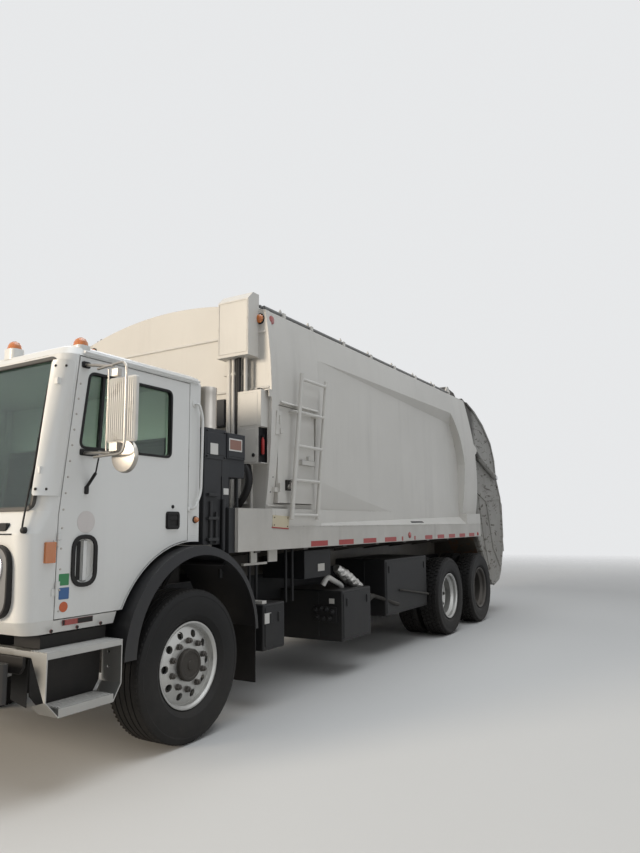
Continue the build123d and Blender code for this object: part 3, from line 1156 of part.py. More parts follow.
LIFT_X = 1172
LIFT_BASE = (BODY_REAR_Y - 50, REAR_EDGE[1][1] + 15)
LIFT_EYE = (TAIL_Y + 1080, 2290)
LIFT_PIN_RADIUS = 20
LIFT_ROD_RADIUS = 28


def make_lift_cylinders():
    run = hypot(LIFT_EYE[0] - LIFT_BASE[0], LIFT_EYE[1] - LIFT_BASE[1])
    step = ((LIFT_EYE[0] - LIFT_BASE[0]) / run, (LIFT_EYE[1] - LIFT_BASE[1]) / run)

    def on_line(distance):
        return (LIFT_BASE[0] + step[0] * distance, LIFT_BASE[1] + step[1] * distance)
    eye = rod((LIFT_X - 20, *LIFT_BASE), (LIFT_X + 20, *LIFT_BASE), 40)
    neck = rod((LIFT_X, *on_line(25)), (LIFT_X, *on_line(70)), LIFT_PIN_RADIUS)
    barrel = eye + neck + rod((LIFT_X, *on_line(62)), (LIFT_X, *on_line(run - 80)), 42)
    barrel -= rod((LIFT_X - 60, *LIFT_BASE), (LIFT_X + 60, *LIFT_BASE), LIFT_PIN_RADIUS + PIN_CLEARANCE)
    barrel -= rod((LIFT_X, *on_line(80)), (LIFT_X, *on_line(run)), LIFT_ROD_RADIUS + PIN_CLEARANCE)
    shaft = rod((LIFT_X, *on_line(90)), (LIFT_X, *on_line(run - 20)), LIFT_ROD_RADIUS)
    shaft += rod((LIFT_X - 45, *LIFT_EYE), (LIFT_X + 30, *LIFT_EYE), 38)
    return both_sides(barrel), both_sides(shaft)


def lift_lug():
    """Lug on the body's rear edge with the pin of the lift cylinder."""
    y, z = LIFT_BASE
    plate = prism_x([(y - 170, z - 120), (y - 170, z + 120), (y + 10, z + 45), (y + 45, z), (y + 10, z - 45)],
                    LIFT_X + 24, LIFT_X + 44)
    return plate + rod((LIFT_X - 35, y, z), (LIFT_X + 44, y, z), LIFT_PIN_RADIUS)


def build():
    parts["frame"] = make_frame()
    parts["rear_tow_eye"] = make_tow_eye()
    parts["front_bumper"] = make_bumper()
    parts["engine"] = make_engine()
    parts["front_axle"] = make_front_axle()
    knuckle = make_knuckle()
    parts["knuckle_left"], parts["knuckle_right"] = knuckle, right_of(knuckle)
    wheel, tyre = make_front_wheel(), make_front_tyre()
    parts["front_wheel_left"], parts["front_wheel_right"] = wheel, right_of(wheel)
    parts["front_tyre_left"], parts["front_tyre_right"] = tyre, right_of(tyre)
    for name, y in zip(("mid", "rear"), DRIVE_AXLES_Y):
        wheels, tyres = make_drive_wheels(y), make_drive_tyres(y)
        parts[f"{name}_wheels_left"], parts[f"{name}_wheels_right"] = wheels, right_of(wheels)
        parts[f"{name}_tyres_left"], parts[f"{name}_tyres_right"] = tyres, right_of(tyres)
    parts["drive_axles"] = make_drive_axles()
    fender = make_fender()
    parts["front_fenders"] = both_sides(fender)
    parts["cab_steps"] = make_steps()
    parts["exhaust_stack"] = make_exhaust_stack()
    parts["side_boxes"] = make_side_boxes()
    make_cab()
    make_doors()
    parts["cab_glass"] = make_cab_glass()
    parts["headlamps"] = make_headlamps()
    parts["dashboard"] = make_dashboard()
    parts["steering_wheel"] = make_steering_wheel()
    parts["seats"] = make_seats()
    parts["body_floor"] = make_body_floor()
    make_body_sides()
    parts["body_roof"] = make_body_roof()
    parts["body_front_wall"] = make_body_front()
    parts["side_access_door"] = make_access_door()
    parts["hose_cover"] = make_hose_cover()
    parts["control_cabinet"] = make_control_cabinet()
    parts["ejector_panel"] = make_ejector()
    parts["hopper_floor"] = make_hopper_floor()
    make_tailgate_sides()
    parts["tailgate_hood"] = make_tailgate_hood()
    parts["packer_carriage"] = make_packer_carriage()
    parts["packer_blade"] = make_packer_blade()
    parts["sweep_barrels"], parts["sweep_rods"] = make_sweep_cylinders()
    parts["lift_barrels"], parts["lift_rods"] = make_lift_cylinders()
    parts["body_side_left"] += lift_lug()
    parts["body_side_right"] += right_of(lift_lug())


build()
os.makedirs("parts", exist_ok=True)
for name, shape in parts.items():
    placed = Pos(0, -CENTRE_Y, 0) * shape
    export_step(placed, f"parts/{name}.step")
print(len(parts), "nodes; centre at y =", CENTRE_Y)
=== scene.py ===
from math import cos, hypot, pi, radians, sin

import bmesh
import bpy
from bpy.props import FloatProperty, FloatVectorProperty, IntProperty, PointerProperty
from bpy.types import Operator, Panel, PropertyGroup
from mathutils import Matrix, Vector


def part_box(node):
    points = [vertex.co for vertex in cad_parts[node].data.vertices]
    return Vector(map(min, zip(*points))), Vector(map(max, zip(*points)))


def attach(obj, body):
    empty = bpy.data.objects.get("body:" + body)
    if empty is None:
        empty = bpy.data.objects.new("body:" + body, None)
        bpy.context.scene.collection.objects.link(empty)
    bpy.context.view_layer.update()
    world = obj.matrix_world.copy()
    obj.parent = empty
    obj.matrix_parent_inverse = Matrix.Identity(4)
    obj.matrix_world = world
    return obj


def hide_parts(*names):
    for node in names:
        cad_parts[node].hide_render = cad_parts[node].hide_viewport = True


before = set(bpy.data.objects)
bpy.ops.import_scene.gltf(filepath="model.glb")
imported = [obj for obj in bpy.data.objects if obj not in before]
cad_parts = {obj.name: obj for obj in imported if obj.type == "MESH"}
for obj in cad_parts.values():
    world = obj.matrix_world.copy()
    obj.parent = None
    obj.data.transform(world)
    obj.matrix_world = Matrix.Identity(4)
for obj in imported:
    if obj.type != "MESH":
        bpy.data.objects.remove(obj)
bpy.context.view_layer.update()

bl_info = {
    "name": "Rear loading garbage truck",
    "version": (1, 0, 0),
    "blender": (4, 5, 0),
    "location": "View3D > Sidebar > Garbage truck",
    "description": "Finishes and fittings of a rear loading garbage truck around its CAD frame",
    "category": "Object",
}


def middle_y(node):
    low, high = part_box(node)
    return (low.y + high.y) / 2


# Every measure below is in metres, with y taken from the front axle and z from the ground.
FRONT_AXLE_Y = middle_y("front_tyre_left")
DRIVE_AXLES_Y = [middle_y(node) - FRONT_AXLE_Y for node in ("mid_tyres_left", "rear_tyres_left")]
SIDES = (("left", 1), ("right", -1))


def from_axle(point):
    return Vector((point[0], point[1] + FRONT_AXLE_Y, point[2]))


# Sizes and colours that a user would change

def colour(name, text, value):
    return FloatVectorProperty(name=name, description=text, default=value, subtype="COLOR", min=0, max=1,
                               size=3)


def share(name, text, value):
    return FloatProperty(name=name, description=text, default=value, min=0, max=1, subtype="FACTOR")


def length(name, text, value):
    return FloatProperty(name=name, description=text, default=value, min=0, unit="LENGTH", subtype="DISTANCE")


class GarbageTruckColours(PropertyGroup):
    cab: colour("Cab", "Paint of the cab and doors", (0.72, 0.72, 0.70))
    body: colour("Body", "Paint of the body, its side panels and roof", (0.62, 0.60, 0.56))
    tailgate: colour("Tailgate", "Paint of the tailgate under its grime", (0.38, 0.37, 0.345))
    chassis: colour("Chassis", "Paint of the frame, boxes and tower", (0.010, 0.011, 0.013))
    bumper: colour("Bumper", "Paint of the front bumper", (0.018, 0.019, 0.021))
    amber: colour("Amber lamps", "Lens of the marker lamps", (0.58, 0.16, 0.018))
    red: colour("Red lamps", "Lens of the tail lamps and red tape", (0.34, 0.014, 0.013))
    dust: colour("Dust", "Road dust that lies on everything", (0.30, 0.26, 0.21))
    grime: colour("Grime", "Dark dirt that rain washes down", (0.07, 0.06, 0.05))


class GarbageTruckWear(PropertyGroup):
    dust: share("Dust", "How thick the road dust lies", 0.45)
    streaks: share("Streaks", "How strong the rain streaks are", 0.35)
    edges: share("Edge wear", "How much paint the edges have lost", 0.35)
    tailgate: share("Tailgate grime", "How much of the tailgate is fouled", 0.62)


class GarbageTruckSizes(PropertyGroup):
    edge: length("Rounded edge", "Radius that worn edges shade with", 0.004)
    groove: length("Tread groove", "Width of a groove round a tyre", 0.011)
    tread: length("Tread depth", "Depth of the grooves", 0.013)
    lugs: IntProperty(name="Tread lugs", description="Lugs round a drive tyre", default=52, min=24, max=90)
    nut: length("Wheel nut", "Size of a wheel nut across its flats", 0.036)
    gasket: length("Gasket", "Half the width of the rubber round the glass", 0.011)
    tape: length("Tape", "Height of the reflective tape", 0.05)


class GarbageTruckStage(PropertyGroup):
    floor: colour("Floor", "Pale floor of the stage", (0.62, 0.61, 0.59))
    background: colour("Background", "What the camera sees behind the floor", (0.80, 0.81, 0.82))
    key: FloatProperty(name="Key", description="Power of the key light in watts", default=3000, min=0)
    sky: FloatProperty(name="Sky", description="Power of the light from above in watts", default=1500, min=0)
    fill: FloatProperty(name="Fill", description="Power of the fill light in watts", default=330, min=0)
    ambient: share("Ambient", "Strength of the light from all round", 0.20)


class GarbageTruckSettings(PropertyGroup):
    colours: PointerProperty(type=GarbageTruckColours)
    wear: PointerProperty(type=GarbageTruckWear)
    sizes: PointerProperty(type=GarbageTruckSizes)
    stage: PointerProperty(type=GarbageTruckStage)


def settings():
    return bpy.context.scene.garbage_truck


# Shader nodes

def fill(tree, node, sockets):
    """Sets each of a node's sockets, or links it where the value is another node's socket."""
    for name, value in sockets.items():
        if isinstance(value, bpy.types.NodeSocket):
            tree.links.new(value, node.inputs[name])
        else:
            node.inputs[name].default_value = value


def add(tree, kind, sockets=None, **values):
    """A node with its settings, and each socket set or linked."""
    made = tree.nodes.new(kind)
    for name, value in values.items():
        setattr(made, name, value)
    fill(tree, made, sockets or {})
    return made


def calculate(tree, operation, first, second=0.0, clamp=False):
    """A Math node's result."""
    return add(tree, "ShaderNodeMath", {0: first, 1: second}, operation=operation, use_clamp=clamp).outputs[0]


def times(tree, first, second, clamp=False):
    return calculate(tree, "MULTIPLY", first, second, clamp)


def plus(tree, first, second):
    return calculate(tree, "ADD", first, second)


def spread(tree, value, low, high):
    """value mapped from low..high to 0..1; low may be above high."""
    return add(tree, "ShaderNodeMapRange",
               {"Value": value, "From Min": low, "From Max": high}).outputs["Result"]


def tint(tree, mask, under, over):
    """A colour: under where mask is 0, over where it is 1."""
    under, over = (c if isinstance(c, bpy.types.NodeSocket) else (*c, 1) for c in (under, over))
    return add(tree, "ShaderNodeMix", {0: mask, 6: under, 7: over}, data_type="RGBA").outputs[2]


def between(tree, mask, under, over):
    """A number: under where mask is 0, over where it is 1."""
    return add(tree, "ShaderNodeMix", {0: mask, 2: under, 3: over}).outputs[0]


def own_space(tree):
    """Each point's place and normal in the piece's own space."""
    return add(tree, "ShaderNodeTexCoord").outputs


def along(tree, vector, axis):
    return add(tree, "ShaderNodeSeparateXYZ", {0: vector}).outputs[axis]


def noise(tree, place, scale, detail, **more):
    """Noise at a place; more holds its other sockets."""
    return add(tree, "ShaderNodeTexNoise",
               {"Vector": place, "Scale": scale, "Detail": detail, **more}).outputs["Fac"]


def raise_surface(tree, shader, height, distance, strength, **more):
    """A Bump node that feeds the shader's normal."""
    bump = add(tree, "ShaderNodeBump", {"Height": height, "Distance": distance, "Strength": strength, **more})
    tree.links.new(bump.outputs[0], shader.inputs["Normal"])


def new_group(name, inputs, outputs):
    """An empty node group with its named sockets; returns it with its two end nodes."""
    group = bpy.data.node_groups.new(name, "ShaderNodeTree")
    for label, value in inputs.items():
        socket = group.interface.new_socket(name=label, in_out="INPUT", socket_type="NodeSocketFloat")
        socket.default_value = value
    for label, kind in outputs.items():
        group.interface.new_socket(name=label, in_out="OUTPUT", socket_type=kind)
    return group, group.nodes.new("NodeGroupInput").outputs, group.nodes.new("NodeGroupOutput").inputs


def edge_wear_group():
    """Bare edges: a broken mask along them, and a normal that rounds them."""
    group, given, out = new_group("edge_wear", {"Radius": 0.004, "Amount": 0.3, "Scale": 9.0},
                                  {"Mask": "NodeSocketFloat", "Normal": "NodeSocketVector"})
    rounded = add(group, "ShaderNodeBevel", {"Radius": given["Radius"]}, samples=4).outputs["Normal"]
    flat = add(group, "ShaderNodeNewGeometry").outputs["Normal"]
    facing = add(group, "ShaderNodeVectorMath", {0: rounded, 1: flat},
                 operation="DOT_PRODUCT").outputs["Value"]
    broken = noise(group, own_space(group)["Object"], given["Scale"], 6.0)
    chipped = spread(group, plus(group, broken, times(group, given["Amount"], 0.35)), 0.58, 0.66)
    group.links.new(times(group, spread(group, facing, 0.995, 0.80), chipped, clamp=True), out["Mask"])
    group.links.new(rounded, out["Normal"])
    return group


def road_dust_group():
    """Dust on upward faces and, up to a height, on the rest."""
    group, given, out = new_group("road_dust", {"Low": 0.3, "High": 1.4, "Amount": 0.4, "Scale": 2.0},
                                  {"Mask": "NodeSocketFloat"})
    own = own_space(group)
    low = spread(group, along(group, own["Object"], "Z"), given["High"], given["Low"])
    top = spread(group, along(group, own["Normal"], "Z"), 0.5, 1.0)
    cloud = spread(group, noise(group, own["Object"], given["Scale"], 8.0, Roughness=0.65), 0.25, 0.75)
    fine = noise(group, own["Object"], 90.0, 3.0)
    laid = plus(group, plus(group, times(group, low, 0.9), times(group, top, 0.6)), 0.12)
    laid = times(group, laid, plus(group, cloud, times(group, fine, 0.3)))
    group.links.new(times(group, laid, given["Amount"], clamp=True), out["Mask"])
    return group


def rain_streaks_group():
    """Runs of dirt straight down the upright faces."""
    group, given, out = new_group("rain_streaks", {"Amount": 0.3, "Scale": 5.0}, {"Mask": "NodeSocketFloat"})
    own = own_space(group)
    long = add(group, "ShaderNodeMapping", {"Vector": own["Object"], "Scale": (1.0, 1.0, 0.07)}).outputs[0]
    runs = spread(group, noise(group, long, given["Scale"], 7.0, Roughness=0.7), 0.50, 0.78)
    patch = spread(group, noise(group, own["Object"], 0.9, 2.0), 0.35, 0.65)
    steep = spread(group, calculate(group, "ABSOLUTE", along(group, own["Normal"], "Z")), 0.7, 0.3)
    mask = times(group, times(group, runs, patch), steep)
    group.links.new(times(group, mask, given["Amount"], clamp=True), out["Mask"])
    return group


def fine_grain_group():
    """Small unevenness of paint, castings and moulded plastic."""
    group, given, out = new_group("fine_grain", {"Scale": 300.0, "Wave": 3.0, "Wave Share": 0.5},
                                  {"Height": "NodeSocketFloat"})
    place = own_space(group)["Object"]
    fine, wave = noise(group, place, given["Scale"], 3.0), noise(group, place, given["Wave"], 1.0)
    group.links.new(between(group, given["Wave Share"], fine, wave), out["Height"])
    return group


def blotches_group():
    """Broad, soft patches."""
    group, given, out = new_group("blotches", {"Scale": 1.2, "Sharpness": 0.3}, {"Mask": "NodeSocketFloat"})
    cloud = noise(group, own_space(group)["Object"], given["Scale"], 9.0, Roughness=0.62)
    half = calculate(group, "SUBTRACT", 0.5, times(group, given["Sharpness"], 0.5))
    low = calculate(group, "SUBTRACT", 0.5, times(group, half, 0.5))
    high = plus(group, 0.5, times(group, half, 0.5))
    group.links.new(spread(group, cloud, low, high), out["Mask"])
    return group


def scrapes_group():
    """Scrapes and chips, more of them as Coverage grows."""
    group, given, out = new_group("scrapes", {"Scale": 4.0, "Coverage": 0.3}, {"Mask": "NodeSocketFloat"})
    turned = add(group, "ShaderNodeMapping", {"Vector": own_space(group)["Object"],
                                              "Rotation": (0.5, 0.2, 0.0),
                                              "Scale": (1.0, 0.45, 1.6)}).outputs[0]
    marks = noise(group, turned, given["Scale"], 12.0, Roughness=0.72, Distortion=0.6)
    start = calculate(group, "SUBTRACT", 0.72, times(group, given["Coverage"], 0.25))
    group.links.new(spread(group, marks, start, plus(group, start, 0.03)), out["Mask"])
    return group


GROUPS = {}
GROUP_MAKERS = {
    "edge_wear": edge_wear_group, "road_dust": road_dust_group, "rain_streaks": rain_streaks_group,
    "fine_grain": fine_grain_group, "blotches": blotches_group, "scrapes": scrapes_group,
}


def effect(tree, name, **inputs):
    """One of the shared groups placed in a material; returns its outputs."""
    if name not in GROUPS:
        GROUPS[name] = GROUP_MAKERS[name]()
    placed = tree.nodes.new("ShaderNodeGroup")
    placed.node_tree = GROUPS[name]
    for label, value in inputs.items():
        placed.inputs[label.replace("_", " ")].default_value = value
    return placed.outputs


def new_material(name):
    """A material with its Principled shader; returns the material, its nodes and the shader."""
    material = bpy.data.materials.new(name)
    material.use_nodes = True
    tree = material.node_tree
    tree.nodes.clear()
    shader = tree.nodes.new("ShaderNodeBsdfPrincipled")
    output = tree.nodes.new("ShaderNodeOutputMaterial")
    tree.links.new(shader.outputs[0], output.inputs["Surface"])
    return material, tree, shader


PAINT_BREAK = 0.002  # half the height in which one colour gives way to the other
SKIRT_FOOT = 1.3045  # height below which the body floor takes the chassis colour
SCRAPE_ROUGHNESS, DUST_ROUGHNESS = 0.75, 0.85


def scaled(value, by):
    return tuple(min(c * by, 1.0) for c in value)


def coated(name, base, rough=0.4, metallic=0.0, coat=0.0, patches=0.12, dust=1.0, zone=(0.3, 1.5),
           streaks=1.0, wear=1.0, bare=(0.16, 0.13, 0.11), grain=350.0, grain_depth=0.0004, waves=0.5,
           scrapes=0.0, scrape_colour=(0.10, 0.06, 0.04), scrape_scale=4.0, specular=0.5, lower=None,
           front=None):
    """A painted, cast, rubber or metal surface with patches, streaks, dust, scrapes and worn edges.

    zone: heights between which the dust thins out. grain: how fine the small unevenness is. waves: share of
    broad waves in it. lower: (height, colour) of the part below. front: (y, ragged width, colour) of a dark
    band of painted shade ahead of y, for the shadow in the gap at a seam.
    """
    chosen = settings()
    material, tree, shader = new_material(name)
    patch = effect(tree, "blotches", Scale=0.8, Sharpness=0.0)["Mask"]
    look = tint(tree, patch, scaled(base, 1.0 - patches), base)
    if lower:
        level, colour_below = lower
        height = along(tree, own_space(tree)["Object"], "Z")
        look = tint(tree, spread(tree, height, level + PAINT_BREAK, level - PAINT_BREAK), look, colour_below)
    # Painted shade: ahead of y the colour turns dark, standing for the shadow in the gap at a seam.
    if front:
        end, ragged_width, seam_shade_colour = front
        place = own_space(tree)["Object"]
        ragged = times(tree, noise(tree, place, 3.5, 6.0, Roughness=0.6), ragged_width)
        ragged = plus(tree, along(tree, place, "Y"), ragged)
        look = tint(tree, spread(tree, ragged, end + ragged_width, end), look, seam_shade_colour)
    shine = between(tree, patch, min(rough + 0.08, 1.0), rough)
    run = effect(tree, "rain_streaks", Amount=chosen.wear.streaks * streaks)["Mask"]
    look = tint(tree, run, look, chosen.colours.grime[:])
    if scrapes:
        mark = effect(tree, "scrapes", Scale=scrape_scale, Coverage=scrapes)["Mask"]
        look = tint(tree, mark, look, scrape_colour)
        shine = between(tree, mark, shine, SCRAPE_ROUGHNESS)
    worn = effect(tree, "edge_wear", Radius=chosen.sizes.edge, Amount=chosen.wear.edges * wear)
    if wear:
        look = tint(tree, worn["Mask"], look, bare)
    film = effect(tree, "road_dust", Low=zone[0], High=zone[1], Amount=chosen.wear.dust * dust)["Mask"]
    look = tint(tree, film, look, chosen.colours.dust[:])
    fill(tree, shader, {"Base Color": look, "Roughness": between(tree, film, shine, DUST_ROUGHNESS),
                        "Metallic": metallic, "Specular IOR Level": specular, "Coat Weight": coat,
                        "Coat Roughness": 0.12})
    height = effect(tree, "fine_grain", Scale=grain, Wave_Share=waves)["Height"]
    raise_surface(tree, shader, height, grain_depth, 0.8, Normal=worn["Normal"])
    return material


def clear_glass():
    """Lightly green cab glass with a film of dust."""
    material, tree, shader = new_material("cab_glass")
    film = effect(tree, "road_dust", Low=1.4, High=2.4, Amount=0.25)["Mask"]
    fill(tree, shader, {"Roughness": between(tree, film, 0.02, 0.35), "Base Color": (0.52, 0.66, 0.60, 1),
                        "Transmission Weight": 1.0, "IOR": 1.45})
    return material


def lens(name, base):
    """Ribbed plastic lens of a lamp."""
    material, tree, shader = new_material(name)
    film = effect(tree, "road_dust", Low=0.5, High=4.0, Amount=0.25)["Mask"]
    fill(tree, shader, {"Base Color": tint(tree, film, base, settings().colours.dust[:]),
                        "Roughness": between(tree, film, 0.12, 0.5), "Coat Weight": 0.7,
                        "Subsurface Weight": 0.15})
    ribs = add(tree, "ShaderNodeTexWave",
               {"Vector": own_space(tree)["Object"], "Scale": 40.0, "Distortion": 0.0}, wave_profile="SIN",
               bands_direction="Y").outputs["Fac"]
    raise_surface(tree, shader, ribs, 0.002, 0.6)
    return material


def woven_seat():
    """Dark seat cloth with a plain weave."""
    material, tree, shader = new_material("seat_cloth")
    patch = effect(tree, "blotches", Scale=6.0, Sharpness=0.1)["Mask"]
    threads = [add(tree, "ShaderNodeTexWave", {"Vector": own_space(tree)["Object"], "Scale": 180.0},
                   bands_direction=axis).outputs["Fac"] for axis in "XY"]
    weave = times(tree, *threads)
    look = tint(tree, patch, (0.045, 0.048, 0.055), (0.07, 0.072, 0.08))
    fill(tree, shader, {"Base Color": tint(tree, weave, look, (0.10, 0.10, 0.11)),
                        "Roughness": between(tree, weave, 0.95, 0.8), "Sheen Weight": 0.25})
    raise_surface(tree, shader, weave, 0.0008, 0.7)
    return material


BODY_LOOK = {"coat": 0.1, "patches": 0.10, "dust": 0.35, "zone": (1.1, 2.0), "streaks": 0.55, "wear": 0.5,
             "waves": 0.9, "grain": 120.0, "grain_depth": 0.0016}


def floor_paint():
    """Body paint on the skirts, turning to the chassis colour below the skirts' foot."""
    colours = settings().colours
    look = {**BODY_LOOK, "dust": 0.8, "streaks": 1.5, "patches": 0.3}
    return coated("floor_paint", colours.body[:], 0.45, lower=(SKIRT_FOOT, colours.chassis[:]), **look)


def tailgate_paint():
    """Fouled paint, with a dark band of painted shade where the side plate meets the body, for the shadow in
    the gap.
    """
    chosen = settings()
    return coated("tailgate_paint", chosen.colours.tailgate[:], 0.55, patches=0.45, dust=0.7, zone=(0.4, 2.6),
                  streaks=2.6, wear=1.6, scrapes=chosen.wear.tailgate, scrape_colour=(0.045, 0.034, 0.028),
                  scrape_scale=9.0, grain_depth=0.001,
                  # painted shade along the tailgate's front edge, for the shadow in the gap to the body
                  front=(FRONT_AXLE_Y + 6.88, 0.20, (0.028, 0.025, 0.022)))


# Adhesive film or a thin painted plate
FILM_LOOK = {"patches": 0.12, "dust": 0.5, "zone": (0.6, 1.6), "streaks": 0.3, "wear": 0.0, "grain": 500.0,
             "grain_depth": 0.0001}
COATS = {
    # finish: its colour or whose colour the user chose, its roughness, and what differs from a plain coat
    "cab_paint": ("cab", 0.32, {
        "coat": 0.35, "patches": 0.05, "dust": 0.4, "zone": (0.7, 1.4), "streaks": 0.25, "wear": 0.4,
        "waves": 0.8, "grain_depth": 0.0003}),
    "body_paint": ("body", 0.42, BODY_LOOK),
    "hopper_steel": ((0.10, 0.085, 0.07), 0.5, {
        "metallic": 0.6, "patches": 0.4, "zone": (0.3, 2.5), "streaks": 1.5, "bare": (0.35, 0.33, 0.31),
        "scrapes": 0.7, "scrape_colour": (0.17, 0.08, 0.04)}),
    "chassis_paint": ("chassis", 0.45, {
        "patches": 0.3, "dust": 0.16, "zone": (0.1, 1.2), "streaks": 0.15, "wear": 0.25,
        "bare": (0.05, 0.045, 0.04), "grain": 250.0, "specular": 0.25}),
    "tower_paint": ((0.022, 0.025, 0.030), 0.5, {
        "patches": 0.4, "dust": 0.2, "zone": (1.0, 2.4), "streaks": 0.3, "wear": 0.5,
        "bare": (0.08, 0.075, 0.07), "grain": 180.0, "specular": 0.3}),
    "bumper_paint": ("bumper", 0.4, {
        "patches": 0.2, "dust": 0.3, "zone": (0.3, 1.0), "streaks": 0.2, "wear": 0.4, "specular": 0.35}),
    "fender_plastic": ((0.012, 0.013, 0.016), 0.34, {
        "coat": 0.1, "patches": 0.2, "dust": 0.22, "zone": (0.4, 1.3), "streaks": 0.1, "wear": 0.0,
        "grain": 500.0, "specular": 0.35}),
    "cast_iron": ((0.022, 0.021, 0.020), 0.6, {
        "metallic": 0.2, "patches": 0.3, "dust": 0.35, "zone": (0.1, 1.4), "streaks": 0.3, "wear": 0.4,
        "bare": (0.08, 0.065, 0.05), "grain": 120.0, "grain_depth": 0.002, "specular": 0.3}),
    "polished_aluminium": ((0.52, 0.52, 0.505), 0.34, {
        "metallic": 0.85, "patches": 0.35, "dust": 0.45, "zone": (0.2, 1.0), "streaks": 0.3, "wear": 0.0,
        "grain": 600.0, "grain_depth": 0.0003, "scrapes": 0.05, "scrape_colour": (0.16, 0.14, 0.12)}),
    "stainless": ((0.50, 0.47, 0.43), 0.32, {
        "metallic": 1.0, "patches": 0.3, "dust": 0.3, "zone": (0.5, 2.2), "streaks": 0.5, "wear": 0.0,
        "grain": 700.0, "grain_depth": 0.0003}),
    "foil": ((0.60, 0.59, 0.57), 0.3, {
        "metallic": 0.9, "patches": 0.4, "dust": 0.3, "zone": (0.3, 1.3), "streaks": 0.3, "wear": 0.0,
        "grain": 38.0, "grain_depth": 0.02, "waves": 0.25}),
    "bright_rod": ((0.60, 0.60, 0.62), 0.2, {
        "metallic": 1.0, "patches": 0.1, "dust": 0.3, "streaks": 0.2, "wear": 0.0, "grain": 800.0,
        "grain_depth": 0.0001}),
    "dirty_rim": ((0.075, 0.07, 0.066), 0.5, {
        "metallic": 0.6, "patches": 0.4, "dust": 0.5, "zone": (0.1, 1.1), "streaks": 0.3, "wear": 0.3}),
    "tyre_rubber": ((0.0085, 0.0085, 0.009), 0.62, {
        "patches": 0.35, "dust": 0.17, "zone": (0.0, 0.9), "streaks": 0.0, "wear": 0.5,
        "bare": (0.03, 0.028, 0.026), "grain": 260.0, "grain_depth": 0.0008, "waves": 0.2, "specular": 0.25}),
    "seal_rubber": ((0.007, 0.007, 0.008), 0.5, {
        "patches": 0.2, "dust": 0.12, "zone": (0.8, 2.5), "streaks": 0.1, "wear": 0.0, "grain": 500.0,
        "specular": 0.25}),
    "windshield_rubber": ((0.05, 0.047, 0.043), 0.55, {
        "patches": 0.3, "dust": 0.3, "zone": (0.8, 2.5), "streaks": 0.2, "wear": 0.0, "grain": 500.0}),
    "grey_plastic": ((0.09, 0.09, 0.095), 0.6, {
        "patches": 0.1, "dust": 0.2, "zone": (0.9, 1.8), "streaks": 0.0, "wear": 0.0, "grain": 900.0,
        "grain_depth": 0.0006, "waves": 0.1}),
    "mirror_shell": ((0.66, 0.65, 0.62), 0.42, {
        "metallic": 0.15, "dust": 0.35, "zone": (1.2, 2.6), "streaks": 0.4, "wear": 0.3, "grain": 600.0}),
    "mirror_glass": ((0.86, 0.87, 0.88), 0.04, {
        "metallic": 1.0, "patches": 0.03, "dust": 0.12, "zone": (1.2, 2.6), "streaks": 0.1, "wear": 0.0,
        "grain": 900.0, "grain_depth": 0.00002}),
    "lamp_bezel": ((0.20, 0.20, 0.20), 0.35, {
        "metallic": 0.4, "patches": 0.15, "dust": 0.2, "zone": (0.6, 1.6), "streaks": 0.2, "wear": 0.2}),
    "green_film": ((0.02, 0.22, 0.075), 0.35, FILM_LOOK),
    "blue_film": ((0.025, 0.11, 0.30), 0.35, FILM_LOOK),
    "orange_film": ((0.55, 0.10, 0.02), 0.35, FILM_LOOK),
    "red_film": ("red", 0.35, FILM_LOOK),
    "pale_plate": ((0.66, 0.65, 0.62), 0.5, FILM_LOOK),
    "beige_plate": ((0.60, 0.53, 0.38), 0.55, FILM_LOOK),
    "brown_plate": ((0.26, 0.135, 0.105), 0.5, FILM_LOOK),
    "faded_film": ((0.66, 0.62, 0.60), 0.5, FILM_LOOK),
}
LENSES = {"amber_lens": "amber", "red_lens": "red", "clear_lens": (0.70, 0.72, 0.72)}
OTHER_MAKERS = {"cab_glass": clear_glass, "seat_cloth": woven_seat, "floor_paint": floor_paint,
                "tailgate_paint": tailgate_paint}
FINISHES = {}


def chosen_colour(value):
    """The user's colour of that name, or the colour itself."""
    return getattr(settings().colours, value)[:] if isinstance(value, str) else value


def finish(name):
    """The material of that name, made when it is first asked for."""
    if name not in FINISHES:
        if name in COATS:
            base, rough, look = COATS[name]
            FINISHES[name] = coated(name, chosen_colour(base), rough, **look)
        elif name in LENSES:
            FINISHES[name] = lens(name, chosen_colour(LENSES[name]))
        else:
            FINISHES[name] = OTHER_MAKERS[name]()
    return FINISHES[name]


# Finish of each CAD node that stays

NODE_FINISHES = {
    "cab_paint": ("cab_front", "cab_back", "cab_roof", "cab_floor", "door_left", "door_right"),
    "body_paint": ("body_side_left", "body_side_right", "body_roof", "body_front_wall",
                   "side_access_door", "hose_cover", "control_cabinet"),
    "floor_paint": ("body_floor",),
    "tower_paint": ("exhaust_stack",),
    "tailgate_paint": ("tailgate_side_left", "tailgate_side_right", "tailgate_hood", "lift_barrels"),
    "hopper_steel": ("hopper_floor", "packer_blade", "packer_carriage", "ejector_panel", "sweep_barrels"),
    "bright_rod": ("sweep_rods", "lift_rods"),
    "chassis_paint": ("frame", "side_boxes", "rear_tow_eye"),
    "bumper_paint": ("front_bumper",),
    "fender_plastic": ("front_fenders",),
    "cast_iron": ("engine", "front_axle", "drive_axles", "knuckle_left", "knuckle_right"),
    "polished_aluminium": ("cab_steps", "front_wheel_left", "front_wheel_right", "mid_wheels_left",
                           "mid_wheels_right", "mirror_left", "mirror_right"),
    "dirty_rim": ("rear_wheels_left", "rear_wheels_right"),
    "tyre_rubber": ("front_tyre_left", "front_tyre_right", "mid_tyres_left", "mid_tyres_right",
                    "rear_tyres_left", "rear_tyres_right"),
    "cab_glass": ("cab_glass", "door_glass_left", "door_glass_right"),
    "lamp_bezel": ("headlamps",),
    "grey_plastic": ("dashboard", "steering_wheel"),
    "seat_cloth": ("seats",),
}


